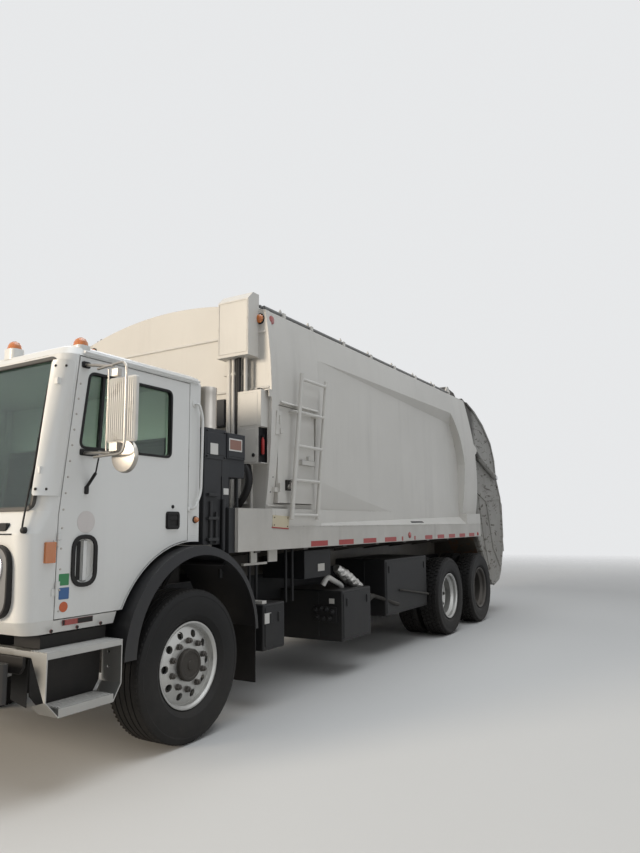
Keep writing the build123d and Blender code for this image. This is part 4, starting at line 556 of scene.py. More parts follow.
class GARBAGE_TRUCK_OT_finishes(Operator):
    """Gives every CAD node its finish"""
    bl_idname = "garbage_truck.finishes"
    bl_label = "Finishes"

    def execute(self, context):
        for name, nodes in NODE_FINISHES.items():
            for node in nodes:
                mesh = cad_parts[node].data
                mesh.materials.clear()
                mesh.materials.append(finish(name))
        return {"FINISHED"}


# Making a piece


def turns(count, start=0.0):
    return [start + 2 * pi * i / count for i in range(count)]


def shifted(outline, by):
    """A closed outline, drawn anticlockwise, moved outwards point by point."""
    moved = []
    for i, (a, b) in enumerate(outline):
        (a0, b0), (a1, b1) = outline[i - 1], outline[(i + 1) % len(outline)]
        run = hypot(a1 - a0, b1 - b0)
        moved.append((a + by * (b1 - b0) / run, b - by * (a1 - a0) / run))
    return moved


def bow(start, at, end, steps=5):
    """Points along a curve from start to end that bends towards at."""
    shares = [k / steps for k in range(steps + 1)]
    return [(1 - t) ** 2 * start + 2 * t * (1 - t) * at + t * t * end for t in shares]


def rounded(corners, radius, steps=5):
    """A closed outline with every corner rounded."""
    outline = []
    for i, corner in enumerate(corners):
        at = Vector(corner)
        before, after = Vector(corners[i - 1]), Vector(corners[(i + 1) % len(corners)])
        start = at + (before - at).normalized() * radius
        end = at + (after - at).normalized() * radius
        outline += [tuple(point) for point in bow(start, at, end, steps)]
    return outline


def oblong(middle, width, height, radius, steps=5):
    a, b = middle[0], middle[1]
    w, h = width / 2, height / 2
    return rounded([(a - w, b - h), (a + w, b - h), (a + w, b + h), (a - w, b + h)], radius, steps)


def rounded_route(points, bend):
    """The points of an open line with its inner corners rounded."""
    points = [Vector(p) for p in points]
    route = [points[0]]
    for before, at, after in zip(points, points[1:], points[2:]):
        reach = min(bend, (before - at).length / 2, (after - at).length / 2)
        start, end = at + (before - at).normalized() * reach, at + (after - at).normalized() * reach
        route += bow(start, at, end)
    return route + [points[-1]]


def standing_on(face, *profile):
    """(depth, radius) points of a turned piece, with the depths counted from a face."""
    return [(face + depth, radius) for depth, radius in profile]


PLACES = {
    # where the point (a, b) of an outline lies at a depth along each axis
    "x": lambda a, b, depth: (depth, a, b),
    "y": lambda a, b, depth: (a, depth, b),
    "z": lambda a, b, depth: (a, b, depth),
}
MERGED = 1e-5  # points of a piece that are this close become one
BEVELLED_FROM = radians(30)  # edges turn at least this far to be bevelled


class Shape:
    """Faces of one piece, in metres from the front axle. Side -1 makes the right-hand twin."""

    def __init__(self, side=1):
        self.mesh = bmesh.new()
        self.side = side
        self.coat = 0

    def loft(self, rings, capped=True):
        """A skin over rings that hold the same number of points."""
        loops = [[self.mesh.verts.new((self.side * x, y + FRONT_AXLE_Y, z)) for x, y, z in ring]
                 for ring in rings]
        faces = []
        count = len(loops[0])
        for low, high in zip(loops, loops[1:]):
            for i in range(count):
                j = (i + 1) % count
                faces.append(self.mesh.faces.new((low[i], low[j], high[j], high[i])))
        if capped:
            faces += [self.mesh.faces.new(loops[0]), self.mesh.faces.new(loops[-1])]
        for face in faces:
            face.material_index = self.coat
        return self

    def prism(self, axis, outline, low, high):
        """An outline drawn out along an axis: (y, z) points for x, (x, z) for y and (x, y) for z."""
        place = PLACES[axis]
        return self.loft([[place(a, b, depth) for a, b in outline] for depth in (low, high)])

    def box(self, x, y, z):
        return self.prism("z", [(x[0], y[0]), (x[1], y[0]), (x[1], y[1]), (x[0], y[1])], *z)

    def boxes(self, *rows):
        for x, y, z in rows:
            self.box(x, y, z)

    def frame(self, axis, outline, out, inwards, low, high):
        """A flat frame that follows an outline, out beyond it and inwards of it."""
        place = PLACES[axis]
        rows = ((out, low), (out, high), (-inwards, high), (-inwards, low), (out, low))
        return self.loft([[place(a, b, depth) for a, b in shifted(outline, by)] for by, depth in rows],
                         capped=False)

    def turned(self, centre, profile, segments=48, axis="x"):
        """(depth, radius) points turned about an axis through centre, the two other coordinates."""
        a, b = centre
        place = PLACES[axis]
        return self.loft([[place(a + radius * cos(t), b + radius * sin(t), depth) for t in turns(segments)]
                          for depth, radius in profile], capped=profile[0] != profile[-1])

    def tube(self, points, radius, bend=0.0, segments=12):
        """A round tube along points, with rounded corners."""
        route = rounded_route(points, bend) if bend else [Vector(p) for p in points]
        rings, across = [], None
        for i, at in enumerate(route):
            ahead = (route[min(i + 1, len(route) - 1)] - route[max(i - 1, 0)]).normalized()
            across = ahead.orthogonal() if across is None else across
            across = (across - ahead * across.dot(ahead)).normalized()
            up = ahead.cross(across)
            rings.append([tuple(at + (across * cos(t) + up * sin(t)) * radius) for t in turns(segments)])
        return self.loft(rings)

    def use(self, index):
        """What follows takes the finish with this place in the list."""
        self.coat = index
        return self

    def done(self, name, body, finishes, bevel=0.0, replaces=(), smooth=40):
        """Closes the piece, puts it in the scene and says which body it rides on."""
        bmesh.ops.remove_doubles(self.mesh, verts=self.mesh.verts, dist=MERGED)
        bmesh.ops.recalc_face_normals(self.mesh, faces=self.mesh.faces)
        if bevel:
            sharp = [edge for edge in self.mesh.edges
                     if len(edge.link_faces) == 2 and edge.calc_face_angle(0) > BEVELLED_FROM]
            bmesh.ops.bevel(self.mesh, geom=sharp, offset=bevel, segments=2, profile=0.5, affect="EDGES",
                            clamp_overlap=True)
        mesh = bpy.data.meshes.new(name)
        self.mesh.to_mesh(mesh)
        self.mesh.free()
        if not mesh.polygons:
            raise RuntimeError(f"{name} has no faces")
        for item in finishes:
            mesh.materials.append(finish(item))
        mesh.shade_smooth()
        mesh.set_sharp_from_angle(angle=radians(smooth))
        piece = bpy.data.objects.new(name, mesh)
        bpy.context.scene.collection.objects.link(piece)
        if bevel:
            piece.modifiers.new("even_normals", "WEIGHTED_NORMAL").keep_sharp = True
        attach(piece, body)
        if replaces:
            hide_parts(*replaces)
        return piece


# Tyres and wheels

BEAD = ((0.109, 0.2845), (0.109, 0.305), (0.131, 0.322), (0.143, 0.345), (0.147, 0.349), (0.151, 0.372))
BEAD_RADIUS = BEAD[0][1]
# (distance from the middle plane, radius) points up the walls
FRONT_WALL = BEAD + ((0.156, 0.410), (0.1555, 0.440), (0.151, 0.478), (0.153, 0.482), (0.149, 0.498),
                     (0.140, 0.516))
DRIVE_WALL = [(x * 0.14 / 0.156, BEAD_RADIUS + (r - BEAD_RADIUS) * 0.975) for x, r in FRONT_WALL[:-1]]
GROOVES_X = (-0.078, -0.027, 0.027, 0.078)
GROOVE_SLOPE = 0.001
FRONT_TYRE = (1.05, 0.530, 0.132)  # middle plane, radius, half width of the tread
DRIVE_TYRE = (1.075, 0.520, 0.122)
TWIN_SPACING = 0.33
SHOULDER_RIBS = 90
# across and below the tread
SHOULDER_RIB = ((-0.006, -0.006), (0.006, -0.012), (0.006, -0.004), (-0.006, -0.0005))
SHOULDER_RIB_HALF = 0.009
LUG_ROWS = 4
LUG_SHARE = 0.80  # of the pitch
LUG_FOOT = 0.003  # how far a lug reaches into the tyre


def tyre_profile(radius, half, wall, groove, depth, grooves):
    """Half of the wall, the tread with its grooves, and the other half."""
    tread = [(-half + 0.010, radius - 0.003)]
    for x in grooves:
        tread += [(x - groove / 2, radius), (x - groove / 2 + GROOVE_SLOPE, radius - depth),
                  (x + groove / 2 - GROOVE_SLOPE, radius - depth), (x + groove / 2, radius)]
    tread += [(half - 0.010, radius - 0.003)]
    left = [(-x, r) for x, r in wall]
    return left + tread + list(reversed(wall)) + left[:1]


class GARBAGE_TRUCK_OT_tyres(Operator):
    """Grooved steering tyres and lugged twin drive tyres in place of the plain ones"""
    bl_idname = "garbage_truck.tyres"
    bl_label = "Tyres"

    def execute(self, context):
        sizes = settings().sizes
        for name, side in SIDES:
            self.front(name, side, sizes)
            for axle, y in zip(("mid", "rear"), DRIVE_AXLES_Y):
                self.drive(name, side, axle, y, sizes)
        return {"FINISHED"}

    def front(self, name, side, sizes):
        x, radius, half = FRONT_TYRE
        profile = tyre_profile(radius - 0.0005, half, FRONT_WALL, sizes.groove, sizes.tread, GROOVES_X)
        shape = Shape(side)
        shape.turned((0, radius), [(x + px, r) for px, r in profile], 120)
        for turn in turns(SHOULDER_RIBS):
            for edge in (-1, 1):
                self.shoulder_rib(shape, x + edge * (half - 0.008), radius, turn)
        shape.done(f"front_tread_{name}", f"front_wheel_{name}", ["tyre_rubber"],
                   replaces=(f"front_tyre_{name}",), smooth=32)

    def shoulder_rib(self, shape, x, radius, turn):
        ring = [(x + across, radius + below) for across, below in SHOULDER_RIB]
        shape.loft([[(across, r * cos(angle), radius + r * sin(angle)) for across, r in ring]
                    for angle in (turn + step / radius for step in (-SHOULDER_RIB_HALF, SHOULDER_RIB_HALF))])

    def drive(self, name, side, axle, y, sizes):
        outer_x, radius, half = DRIVE_TYRE
        shape = Shape(side)
        for x in (outer_x, outer_x - TWIN_SPACING):
            profile = tyre_profile(radius - sizes.tread, half, DRIVE_WALL, sizes.groove, 0.001, ())
            shape.turned((y, radius), [(x + px, r) for px, r in profile], 104)
            for row in range(LUG_ROWS):
                low = x - half + 0.006 + row * (2 * half - 0.012) / LUG_ROWS
                high = low + (2 * half - 0.012) / LUG_ROWS - sizes.groove
                for turn in turns(sizes.lugs, pi / sizes.lugs * (row % 2)):
                    self.lug(shape, low, high, y, radius, turn, sizes)
        shape.done(f"{axle}_tread_{name}", f"{axle}_wheels_{name}", ["tyre_rubber"],
                   replaces=(f"{axle}_tyres_{name}",), smooth=32)

    def lug(self, shape, low, high, y, radius, turn, sizes):
        half = pi / sizes.lugs * LUG_SHARE
        rings = []
        for r, shrink in ((radius - sizes.tread - LUG_FOOT, 0.0), (radius - 0.0008, 0.0015)):
            corners = ((low + shrink, turn - half), (high - shrink, turn - half),
                       (high - shrink, turn + half), (low + shrink, turn + half))
            rings.append([(x, y + r * cos(angle), radius + r * sin(angle)) for x, angle in corners])
        shape.loft(rings)


FRONT_HUB = ((1.140, 0.112), (1.176, 0.112), (1.184, 0.104), (1.184, 0.088), (1.1785, 0.084), (1.1785, 0.034),
             (1.186, 0.030), (1.186, 0.004))
DRIVE_HUB = ((0.925, 0.098), (1.02, 0.1065), (1.046, 0.1065), (1.050, 0.098), (1.050, 0.05), (1.046, 0.045),
             (1.046, 0.004))
HUBS = (
    # axle, body, y, tyre, hub, face that the nuts sit on, radius of their circle
    ("front", "front_wheel", 0.0, FRONT_TYRE, FRONT_HUB, 1.1455, 0.1675),
    ("mid", "mid_wheels", DRIVE_AXLES_Y[0], DRIVE_TYRE, DRIVE_HUB, 0.930, 0.138),
    ("rear", "rear_wheels", DRIVE_AXLES_Y[1], DRIVE_TYRE, DRIVE_HUB, 0.930, 0.138),
)
NUTS, FIRST_NUT = 10, 0.3  # how many, and the angle of the first


class GARBAGE_TRUCK_OT_wheels(Operator):
    """Wheel nuts, dark hubs and their caps"""
    bl_idname = "garbage_truck.wheels"
    bl_label = "Wheel fittings"

    def execute(self, context):
        size = settings().sizes.nut
        for name, side in SIDES:
            for axle, body, y, (_, radius, _), hub, face, circle in HUBS:
                shape = Shape(side)
                shape.turned((y, radius), hub, 40)
                shape.use(1)
                nut = standing_on(face, (-0.002, size * 0.66), (0.004, size * 0.66), (0.005, size * 0.577),
                                  (0.026, size * 0.577), (0.029, size * 0.48), (0.029, 0.012), (0.040, 0.011),
                                  (0.041, 0.003))
                for turn in turns(NUTS, FIRST_NUT):
                    shape.turned((y + circle * cos(turn), radius + circle * sin(turn)), nut, 6)
                shape.done(f"{axle}_hub_{name}", f"{body}_{name}", ["cast_iron", "dirty_rim"], smooth=30)
        return {"FINISHED"}


# Cab

GLASS_FOOT = (-1.300, 1.610)  # y and z at the foot of the windshield's front
GLASS_SLOPE = 0.16837
WINDSHIELD = [(0.030, 1.625), (1.090, 1.625), (1.045, 2.560), (0.030, 2.560)]
DOOR_WINDOW = [(-1.020, 2.005), (-0.218, 2.005), (-0.218, 2.488), (-0.962, 2.488)]
WINDOW_CORNER = 0.045
DOOR_X = 1.150
ON_DOOR = (DOOR_X - 0.002, DOOR_X + 0.0012)  # where a thin film lies
VANE_FOOT, VANE_TOP = 1.698, 2.540
HANDLE_AT = (-0.188, 1.555)
CORNER_LAMP_AT = (0.050, 1.560)
SILL_STRIP_Z = (0.942, 0.974)
ROOF_MARKERS = ((-1.075, -0.985, 2.648), (-0.50, -1.060, 2.692), (0.0, -1.060, 2.692), (0.50, -1.060, 2.692),
                (1.075, -0.985, 2.648))
# height and the two half widths of a marker's dome
MARKER_DOME = ((0.014, 0.052, 0.046), (0.042, 0.048, 0.042), (0.062, 0.037, 0.032), (0.074, 0.018, 0.015),
               (0.077, 0.003, 0.003))


def on_glass(x, z, out=0.0):
    return (x, GLASS_FOOT[0] + (z - GLASS_FOOT[1]) * GLASS_SLOPE - out, z)


class GARBAGE_TRUCK_OT_cab(Operator):
    """Gaskets, wipers, lamps, handles, vents and markers of the cab"""
    bl_idname = "garbage_truck.cab"
    bl_label = "Cab fittings"

    def execute(self, context):
        half = settings().sizes.gasket
        for name, side in SIDES:
            self.windshield(name, side, half)
            self.door(name, side, half)
            self.lamps(name, side)
            self.wiper(name, side)
            self.grab_handle(name, side)
        self.front()
        self.roof()
        return {"FINISHED"}

    def windshield(self, name, side, half):
        outline = rounded(WINDSHIELD, WINDOW_CORNER)
        rows = ((half + 0.004, -0.016), (half + 0.004, 0.007), (0.0, 0.010), (-half, 0.004), (-half, -0.016),
                (half + 0.004, -0.016))
        shape = Shape(side)
        shape.loft([[on_glass(x, z, out) for x, z in shifted(outline, by)] for by, out in rows], capped=False)
        shape.done(f"windshield_gasket_{name}", "cab", ["windshield_rubber"], smooth=50)
        self.vane(name, side)

    def vane(self, name, side):
        """The curved air deflector that stands in front of the corner post."""
        shape = Shape(side)
        rows = []
        for z in (VANE_FOOT, 1.712, 2.0, 2.3, 2.525, VANE_TOP):
            curve = self.vane_line(z, 0.014 if z in (VANE_FOOT, VANE_TOP) else 0.0)
            back = [p + Vector((-0.006, 0.008)) for p in reversed(curve)]
            rows.append([(p.x, p.y, z) for p in curve + back])
        shape.loft(rows)
        for z in (1.85, 2.40):
            y = on_glass(0, z)[1]
            shape.box((1.100, 1.130), (y - 0.022, y + 0.030), (z - 0.02, z + 0.02))
        shape.use(1)
        for z in (1.737, 2.500):
            for step in (2, 7):
                at = self.vane_line(z, 0.0)[step]
                profile = standing_on(at.y, (0.004, 0.008), (-0.004, 0.008), (-0.006, 0.004))
                shape.turned((at.x, z), profile, 10, "y")
        shape.done(f"corner_vane_{name}", "cab", ["cab_paint", "cast_iron"], smooth=50)

    def vane_line(self, z, trim):
        """The vane's front edge at a height, from beside the glass round to the door."""
        x, y, _ = on_glass(1.110 - (z - 1.70) * 0.0714 + trim, z, 0.030)
        end = Vector((1.157, -1.147 + (z - 1.748) * 0.0894 - trim))
        return bow(Vector((x, y)), Vector((1.160, y + 0.016)), end, 12)

    def door(self, name, side, half):
        """Window gasket, vent, handle, screws and blank films."""
        body = f"door_{name}"
        shape = Shape(side)
        shape.frame("x", rounded(DOOR_WINDOW, WINDOW_CORNER), half * 0.8, half * 0.8, DOOR_X - 0.030,
                    DOOR_X + 0.005)
        shape.prism("x", [(-0.872, 2.0), (-0.850, 2.0), (-0.828, 2.49), (-0.850, 2.49)], DOOR_X - 0.031,
                    DOOR_X - 0.004)
        shape.done(f"window_gasket_{name}", body, ["seal_rubber"], bevel=0.002)
        ring = Shape(side)
        ring.frame("x", oblong((-0.953, 1.312), 0.166, 0.286, 0.078, 7), 0.014, 0.012, DOOR_X - 0.004,
                   DOOR_X + 0.010)
        ring.box((DOOR_X - 0.026, DOOR_X - 0.020), (-0.992, -0.966), (1.195, 1.430))
        ring.use(1)
        ring.prism("z", [(DOOR_X - 0.026, -0.964), (DOOR_X - 0.004, -0.960), (DOOR_X - 0.010, -0.924),
                         (DOOR_X - 0.026, -0.920)], 1.190, 1.434)
        ring.done(f"door_vent_{name}", body, ["seal_rubber", "cab_paint"], bevel=0.002)
        handle = Shape(side)
        handle.prism("x", oblong(HANDLE_AT, 0.135, 0.125, 0.022), DOOR_X - 0.003, DOOR_X + 0.007)
        handle.frame("x", oblong(HANDLE_AT, 0.120, 0.110, 0.018), 0.0, 0.016, DOOR_X + 0.006, DOOR_X + 0.016)
        handle.prism("x", oblong((HANDLE_AT[0], 1.575), 0.080, 0.035, 0.010), DOOR_X + 0.006, DOOR_X + 0.013)
        handle.turned((HANDLE_AT[0], 1.652),
                      standing_on(DOOR_X, (-0.003, 0.013), (0.005, 0.013), (0.006, 0.006)), 16)
        handle.done(f"door_handle_{name}", body, ["seal_rubber"], bevel=0.003)
        screws = Shape(side)
        for i in range(9):
            z = 1.62 + 0.098 * i
            y = -1.150 + (z - 1.58) * 0.110 + 0.026
            screws.turned((y, z), standing_on(DOOR_X, (-0.002, 0.007), (0.002, 0.007), (0.003, 0.004)), 10)
        for i in range(5):
            screws.turned((-1.124, 1.03 + 0.12 * i), standing_on(DOOR_X, (-0.002, 0.007), (0.003, 0.006)), 10)
        screws.done(f"door_screws_{name}", body, ["stainless"])
        for colour_name, at in (("green_film", (-1.095, 1.208)), ("blue_film", (-1.091, 1.128))):
            Shape(side).prism("x", oblong(at, 0.072, 0.068, 0.006), *ON_DOOR).done(
                f"{colour_name}_{name}", body, [colour_name])
        dot = Shape(side)
        dot.turned((-1.090, 1.050), [(depth, 0.030) for depth in ON_DOOR], 32)
        dot.done(f"orange_dot_{name}", body, ["orange_film"])
        faded = Shape(side)
        faded.turned((-0.949, 1.546), standing_on(DOOR_X, (-0.002, 0.068), (0.0008, 0.068)), 40)
        faded.done(f"faded_disc_{name}", body, ["faded_film"])

    def lamps(self, name, side):
        """Side marker, corner lamp, headlamp and the strip on the sill."""
        marker = Shape(side)
        marker.prism("x", oblong((-1.205, 1.370), 0.072, 0.122, 0.008), DOOR_X - 0.004, DOOR_X + 0.018)
        marker.done(f"side_marker_{name}", "cab", ["amber_lens"], bevel=0.004)
        small = Shape(side)
        small.turned(CORNER_LAMP_AT, standing_on(DOOR_X, (-0.003, 0.026), (0.008, 0.026), (0.010, 0.022)), 24)
        small.use(1)
        small.turned(CORNER_LAMP_AT, standing_on(DOOR_X, (0.009, 0.021), (0.024, 0.019), (0.032, 0.011),
                                                 (0.034, 0.002)), 24)
        small.done(f"corner_lamp_{name}", "cab", ["seal_rubber", "amber_lens"])
        strip = Shape(side)
        for coat, y in ((0, (-1.075, -0.985)), (1, (-1.092, -1.077)), (1, (-0.983, -0.870))):
            strip.use(coat)
            strip.box((DOOR_X - 0.002, DOOR_X + 0.002), y, SILL_STRIP_Z)
        for y in (-1.168, -0.985, -0.807):
            strip.turned((y, 0.922), standing_on(DOOR_X, (-0.002, 0.011), (0.004, 0.011), (0.006, 0.006)), 14)
        strip.done(f"sill_strip_{name}", "cab", ["red_lens", "seal_rubber"], bevel=0.001)
        gasket = Shape(side)
        gasket.frame("y", oblong((0.880, 1.210), 0.330, 0.400, 0.120, 7), 0.010, 0.004, -1.350, -1.402)
        gasket.done(f"headlamp_gasket_{name}", "cab", ["seal_rubber"], bevel=0.002)
        lamp = Shape(side)
        for z, radius, coat in ((1.283, 0.106, 0), (1.085, 0.056, 1)):
            lamp.use(2)
            lamp.turned((0.888, z), [(-1.398, radius + 0.014), (-1.408, radius + 0.012),
                                     (-1.410, radius + 0.004), (-1.402, radius)], 40, "y")
            lamp.use(coat)
            lamp.turned((0.888, z), [(-1.399, radius), (-1.410, radius * 0.93), (-1.418, radius * 0.6),
                                     (-1.420, radius * 0.2), (-1.4205, 0.002)], 40, "y")
        lamp.done(f"headlamp_{name}", "cab", ["clear_lens", "red_lens", "bright_rod"], smooth=60)

    def wiper(self, name, side):
        """Pivot on the cowl, and arm and blade parked along the corner post."""
        shape = Shape(side)
        shape.turned((1.108, 1.500), [(-1.340, 0.020), (-1.362, 0.017), (-1.368, 0.009)], 16, "y")
        shape.tube([(1.108, -1.362, 1.500), (1.100, -1.352, 1.545), (1.065, -1.303, 1.700),
                    on_glass(1.062, 1.90, 0.014), on_glass(1.050, 2.05, 0.014)], 0.0055, 0.05)
        shape.tube([on_glass(1.066, 1.74, 0.012), on_glass(1.036, 2.38, 0.012)], 0.006, 0.0, 8)
        shape.prism("y", oblong((0.915, 1.520), 0.120, 0.046, 0.020), -1.340, -1.372)
        shape.done(f"wiper_{name}", "cab", ["seal_rubber"])

    def grab_handle(self, name, side):
        shape = Shape(side)
        x = DOOR_X + 0.045
        shape.tube([(DOOR_X - 0.004, 0.030, 2.430), (x, 0.030, 2.430), (x, 0.074, 2.330), (x, 0.062, 1.760),
                    (x, -0.004, 1.640), (DOOR_X - 0.004, -0.004, 1.640)], 0.0105, 0.05)
        for y, z in ((0.030, 2.430), (-0.004, 1.640)):
            shape.turned((y, z), standing_on(DOOR_X, (-0.003, 0.028), (0.005, 0.028), (0.007, 0.020)), 20)
        shape.done(f"grab_handle_{name}", "cab", ["cab_paint"])

    def front(self):
        """Grille slats, the dark valance under the cab and its corner brackets."""
        grille = Shape()
        for i in range(6):
            z = 1.040 + 0.052 * i
            y = -1.365 - 0.013 * (z - 0.985) / 0.495
            grille.prism("x",
                         [(y + 0.006, z), (y - 0.008, z + 0.004), (y - 0.010, z + 0.014),
                          (y + 0.006, z + 0.030)], -0.62, 0.62)
        grille.done("grille", "cab", ["seal_rubber"], bevel=0.002)
        rim = Shape()
        rim.frame("y", oblong((0.0, 1.185), 1.29, 0.345, 0.03), 0.010, 0.008, -1.352, -1.382)
        rim.done("grille_rim", "cab", ["cab_paint"], bevel=0.003)
        seam = Shape().box((-1.035, 1.035), (-1.3795, -1.366), (1.474, 1.482))
        seam.done("front_seam", "cab", ["seal_rubber"])
        valance = Shape()
        valance.prism("y", [(-1.04, 0.690), (1.04, 0.690), (1.07, 0.730), (1.07, 0.790), (-1.07, 0.790),
                            (-1.07, 0.730)], -1.285, -1.262)
        valance.boxes(*((x, (-1.378, -1.262), (0.60, 0.735)) for x in ((-0.76, -0.70), (0.70, 0.76))))
        valance.done("valance", "chassis", ["seal_rubber"], bevel=0.008)

    def roof(self):
        """Marker lamps on the front of the roof and the drip rails over the doors."""
        for i, (x, y, z) in enumerate(ROOF_MARKERS):
            lamp = Shape()
            lamp.prism("z", oblong((x, y), 0.115, 0.100, 0.040), z - 0.06, z + 0.016)
            lamp.use(1)
            lamp.loft([[(x + a * cos(t), y + b * sin(t), z + up) for t in turns(24)]
                       for up, a, b in MARKER_DOME])
            lamp.done(f"roof_marker_{i}", "cab", ["cab_paint", "amber_lens"], smooth=60)
        for name, side in SIDES:
            rail = Shape(side)
            rail.loft([[(1.148, y, 2.606), (1.166, y, 2.600), (1.170, y, 2.614), (1.150, y, 2.626)]
                       for y in (-1.02, -0.6, -0.2, 0.070)])
            rail.done(f"drip_rail_{name}", "cab", ["cab_paint"], bevel=0.003)


MIRROR_BACK_Y, MIRROR_FRONT_Y = -1.014, -1.046
DISC_AT = (1.545, 1.925)  # middle of the round wide-angle mirror


class GARBAGE_TRUCK_OT_mirrors(Operator):
    """Mirror heads with their glass, shells and braces"""
    bl_idname = "garbage_truck.mirrors"
    bl_label = "Mirrors"

    def execute(self, context):
        for name, side in SIDES:
            shape = Shape(side)
            self.head(shape)
            self.braces(shape)
            shape.done(f"mirror_head_{name}", f"door_{name}",
                       ["mirror_shell", "mirror_glass", "stainless", "seal_rubber"],
                       replaces=(f"mirror_{name}",), smooth=35)
        return {"FINISHED"}

    def head(self, shape):
        """The ribbed shell, its glass and the round mirror under it."""
        front, back = MIRROR_FRONT_Y, MIRROR_BACK_Y
        face = oblong((1.524, 2.205), 0.238, 0.396, 0.022)
        rows = ((back - 0.002, 0.0), (back - 0.018, 0.0), (front + 0.010, -0.005), (front + 0.005, -0.014))
        shape.loft([[(a, y, b) for a, b in shifted(face, by)] for y, by in rows])
        for i in range(13):
            x = 1.416 + 0.0168 * i
            shape.prism("z",
                        [(x, front + 0.007), (x + 0.002, front), (x + 0.0085, front),
                         (x + 0.0105, front + 0.007)], 2.020, 2.390)
        shape.use(1)
        shape.prism("y", shifted(face, -0.012), back - 0.003, back + 0.0005)
        shape.use(2)
        shape.turned(DISC_AT,
                     [(-1.043, 0.012), (-1.041, 0.060), (-1.034, 0.094), (-1.018, 0.100), (-1.008, 0.100)],
                     48, "y")
        shape.use(1)
        shape.turned(DISC_AT, [(-1.009, 0.092), (-1.0035, 0.060), (-1.001, 0.003)], 40, "y")

    def braces(self, shape):
        """The two arms, their clamps, the post and hoop beside the shell, and the pads on the door."""
        shape.use(2)
        shape.tube([(1.148, -1.000, 2.530), (1.470, -1.060, 2.470)], 0.010)
        shape.box((1.470, 1.520), (-1.072, -1.040), (2.404, 2.450))
        shape.tube([(1.148, -0.985, 1.972), (1.470, -1.060, 1.945)], 0.010)
        shape.box((1.470, 1.535), (-1.074, -1.040), (1.952, 2.004))
        shape.tube([(1.398, -1.030, 1.95), (1.398, -1.030, 2.47)], 0.006)
        shape.tube([(1.300, -1.030, 2.478), (1.618, -1.092, 2.478), (1.618, -1.092, 1.932),
                    (1.300, -1.036, 1.932)],
                   0.008, 0.07)
        shape.use(3)
        for y, z, long in ((-1.000, 2.530, 0.060), (-0.950, 1.975, 0.140)):
            shape.prism("x", oblong((y, z), long, 0.040, 0.010), DOOR_X - 0.003, DOOR_X + 0.010)
        shape.prism("x", oblong((-0.960, 1.742), 0.026, 0.052, 0.012), DOOR_X - 0.003, DOOR_X + 0.012)
        shape.tube([(DOOR_X + 0.008, -0.958, 1.765), (1.215, -0.945, 1.845)], 0.010)
        shape.tube([(1.215, -0.945, 1.845), (1.300, -1.000, 1.928)], 0.005)


PAD_SWELL = 0.012  # furthest that the cloth solver may move a point
PAD_GRID = 0.006
PUFFED_FRAMES = 20
SEAT_X = 0.76
SEAM_IN, SEAM_HALF, SEAM_DEPTH = 0.055, 0.008, 0.006  # the border seam's place, half width and depth
CHANNEL_PITCH = 0.085
# size, middle and lean of each pad
PADS = {
    "cushion": ((0.475, 0.405, 0.062), (SEAT_X, -0.345, 1.540), 0.0),
    "back": ((0.455, 0.590, 0.062), (SEAT_X, -0.060, 1.905), radians(82)),
}


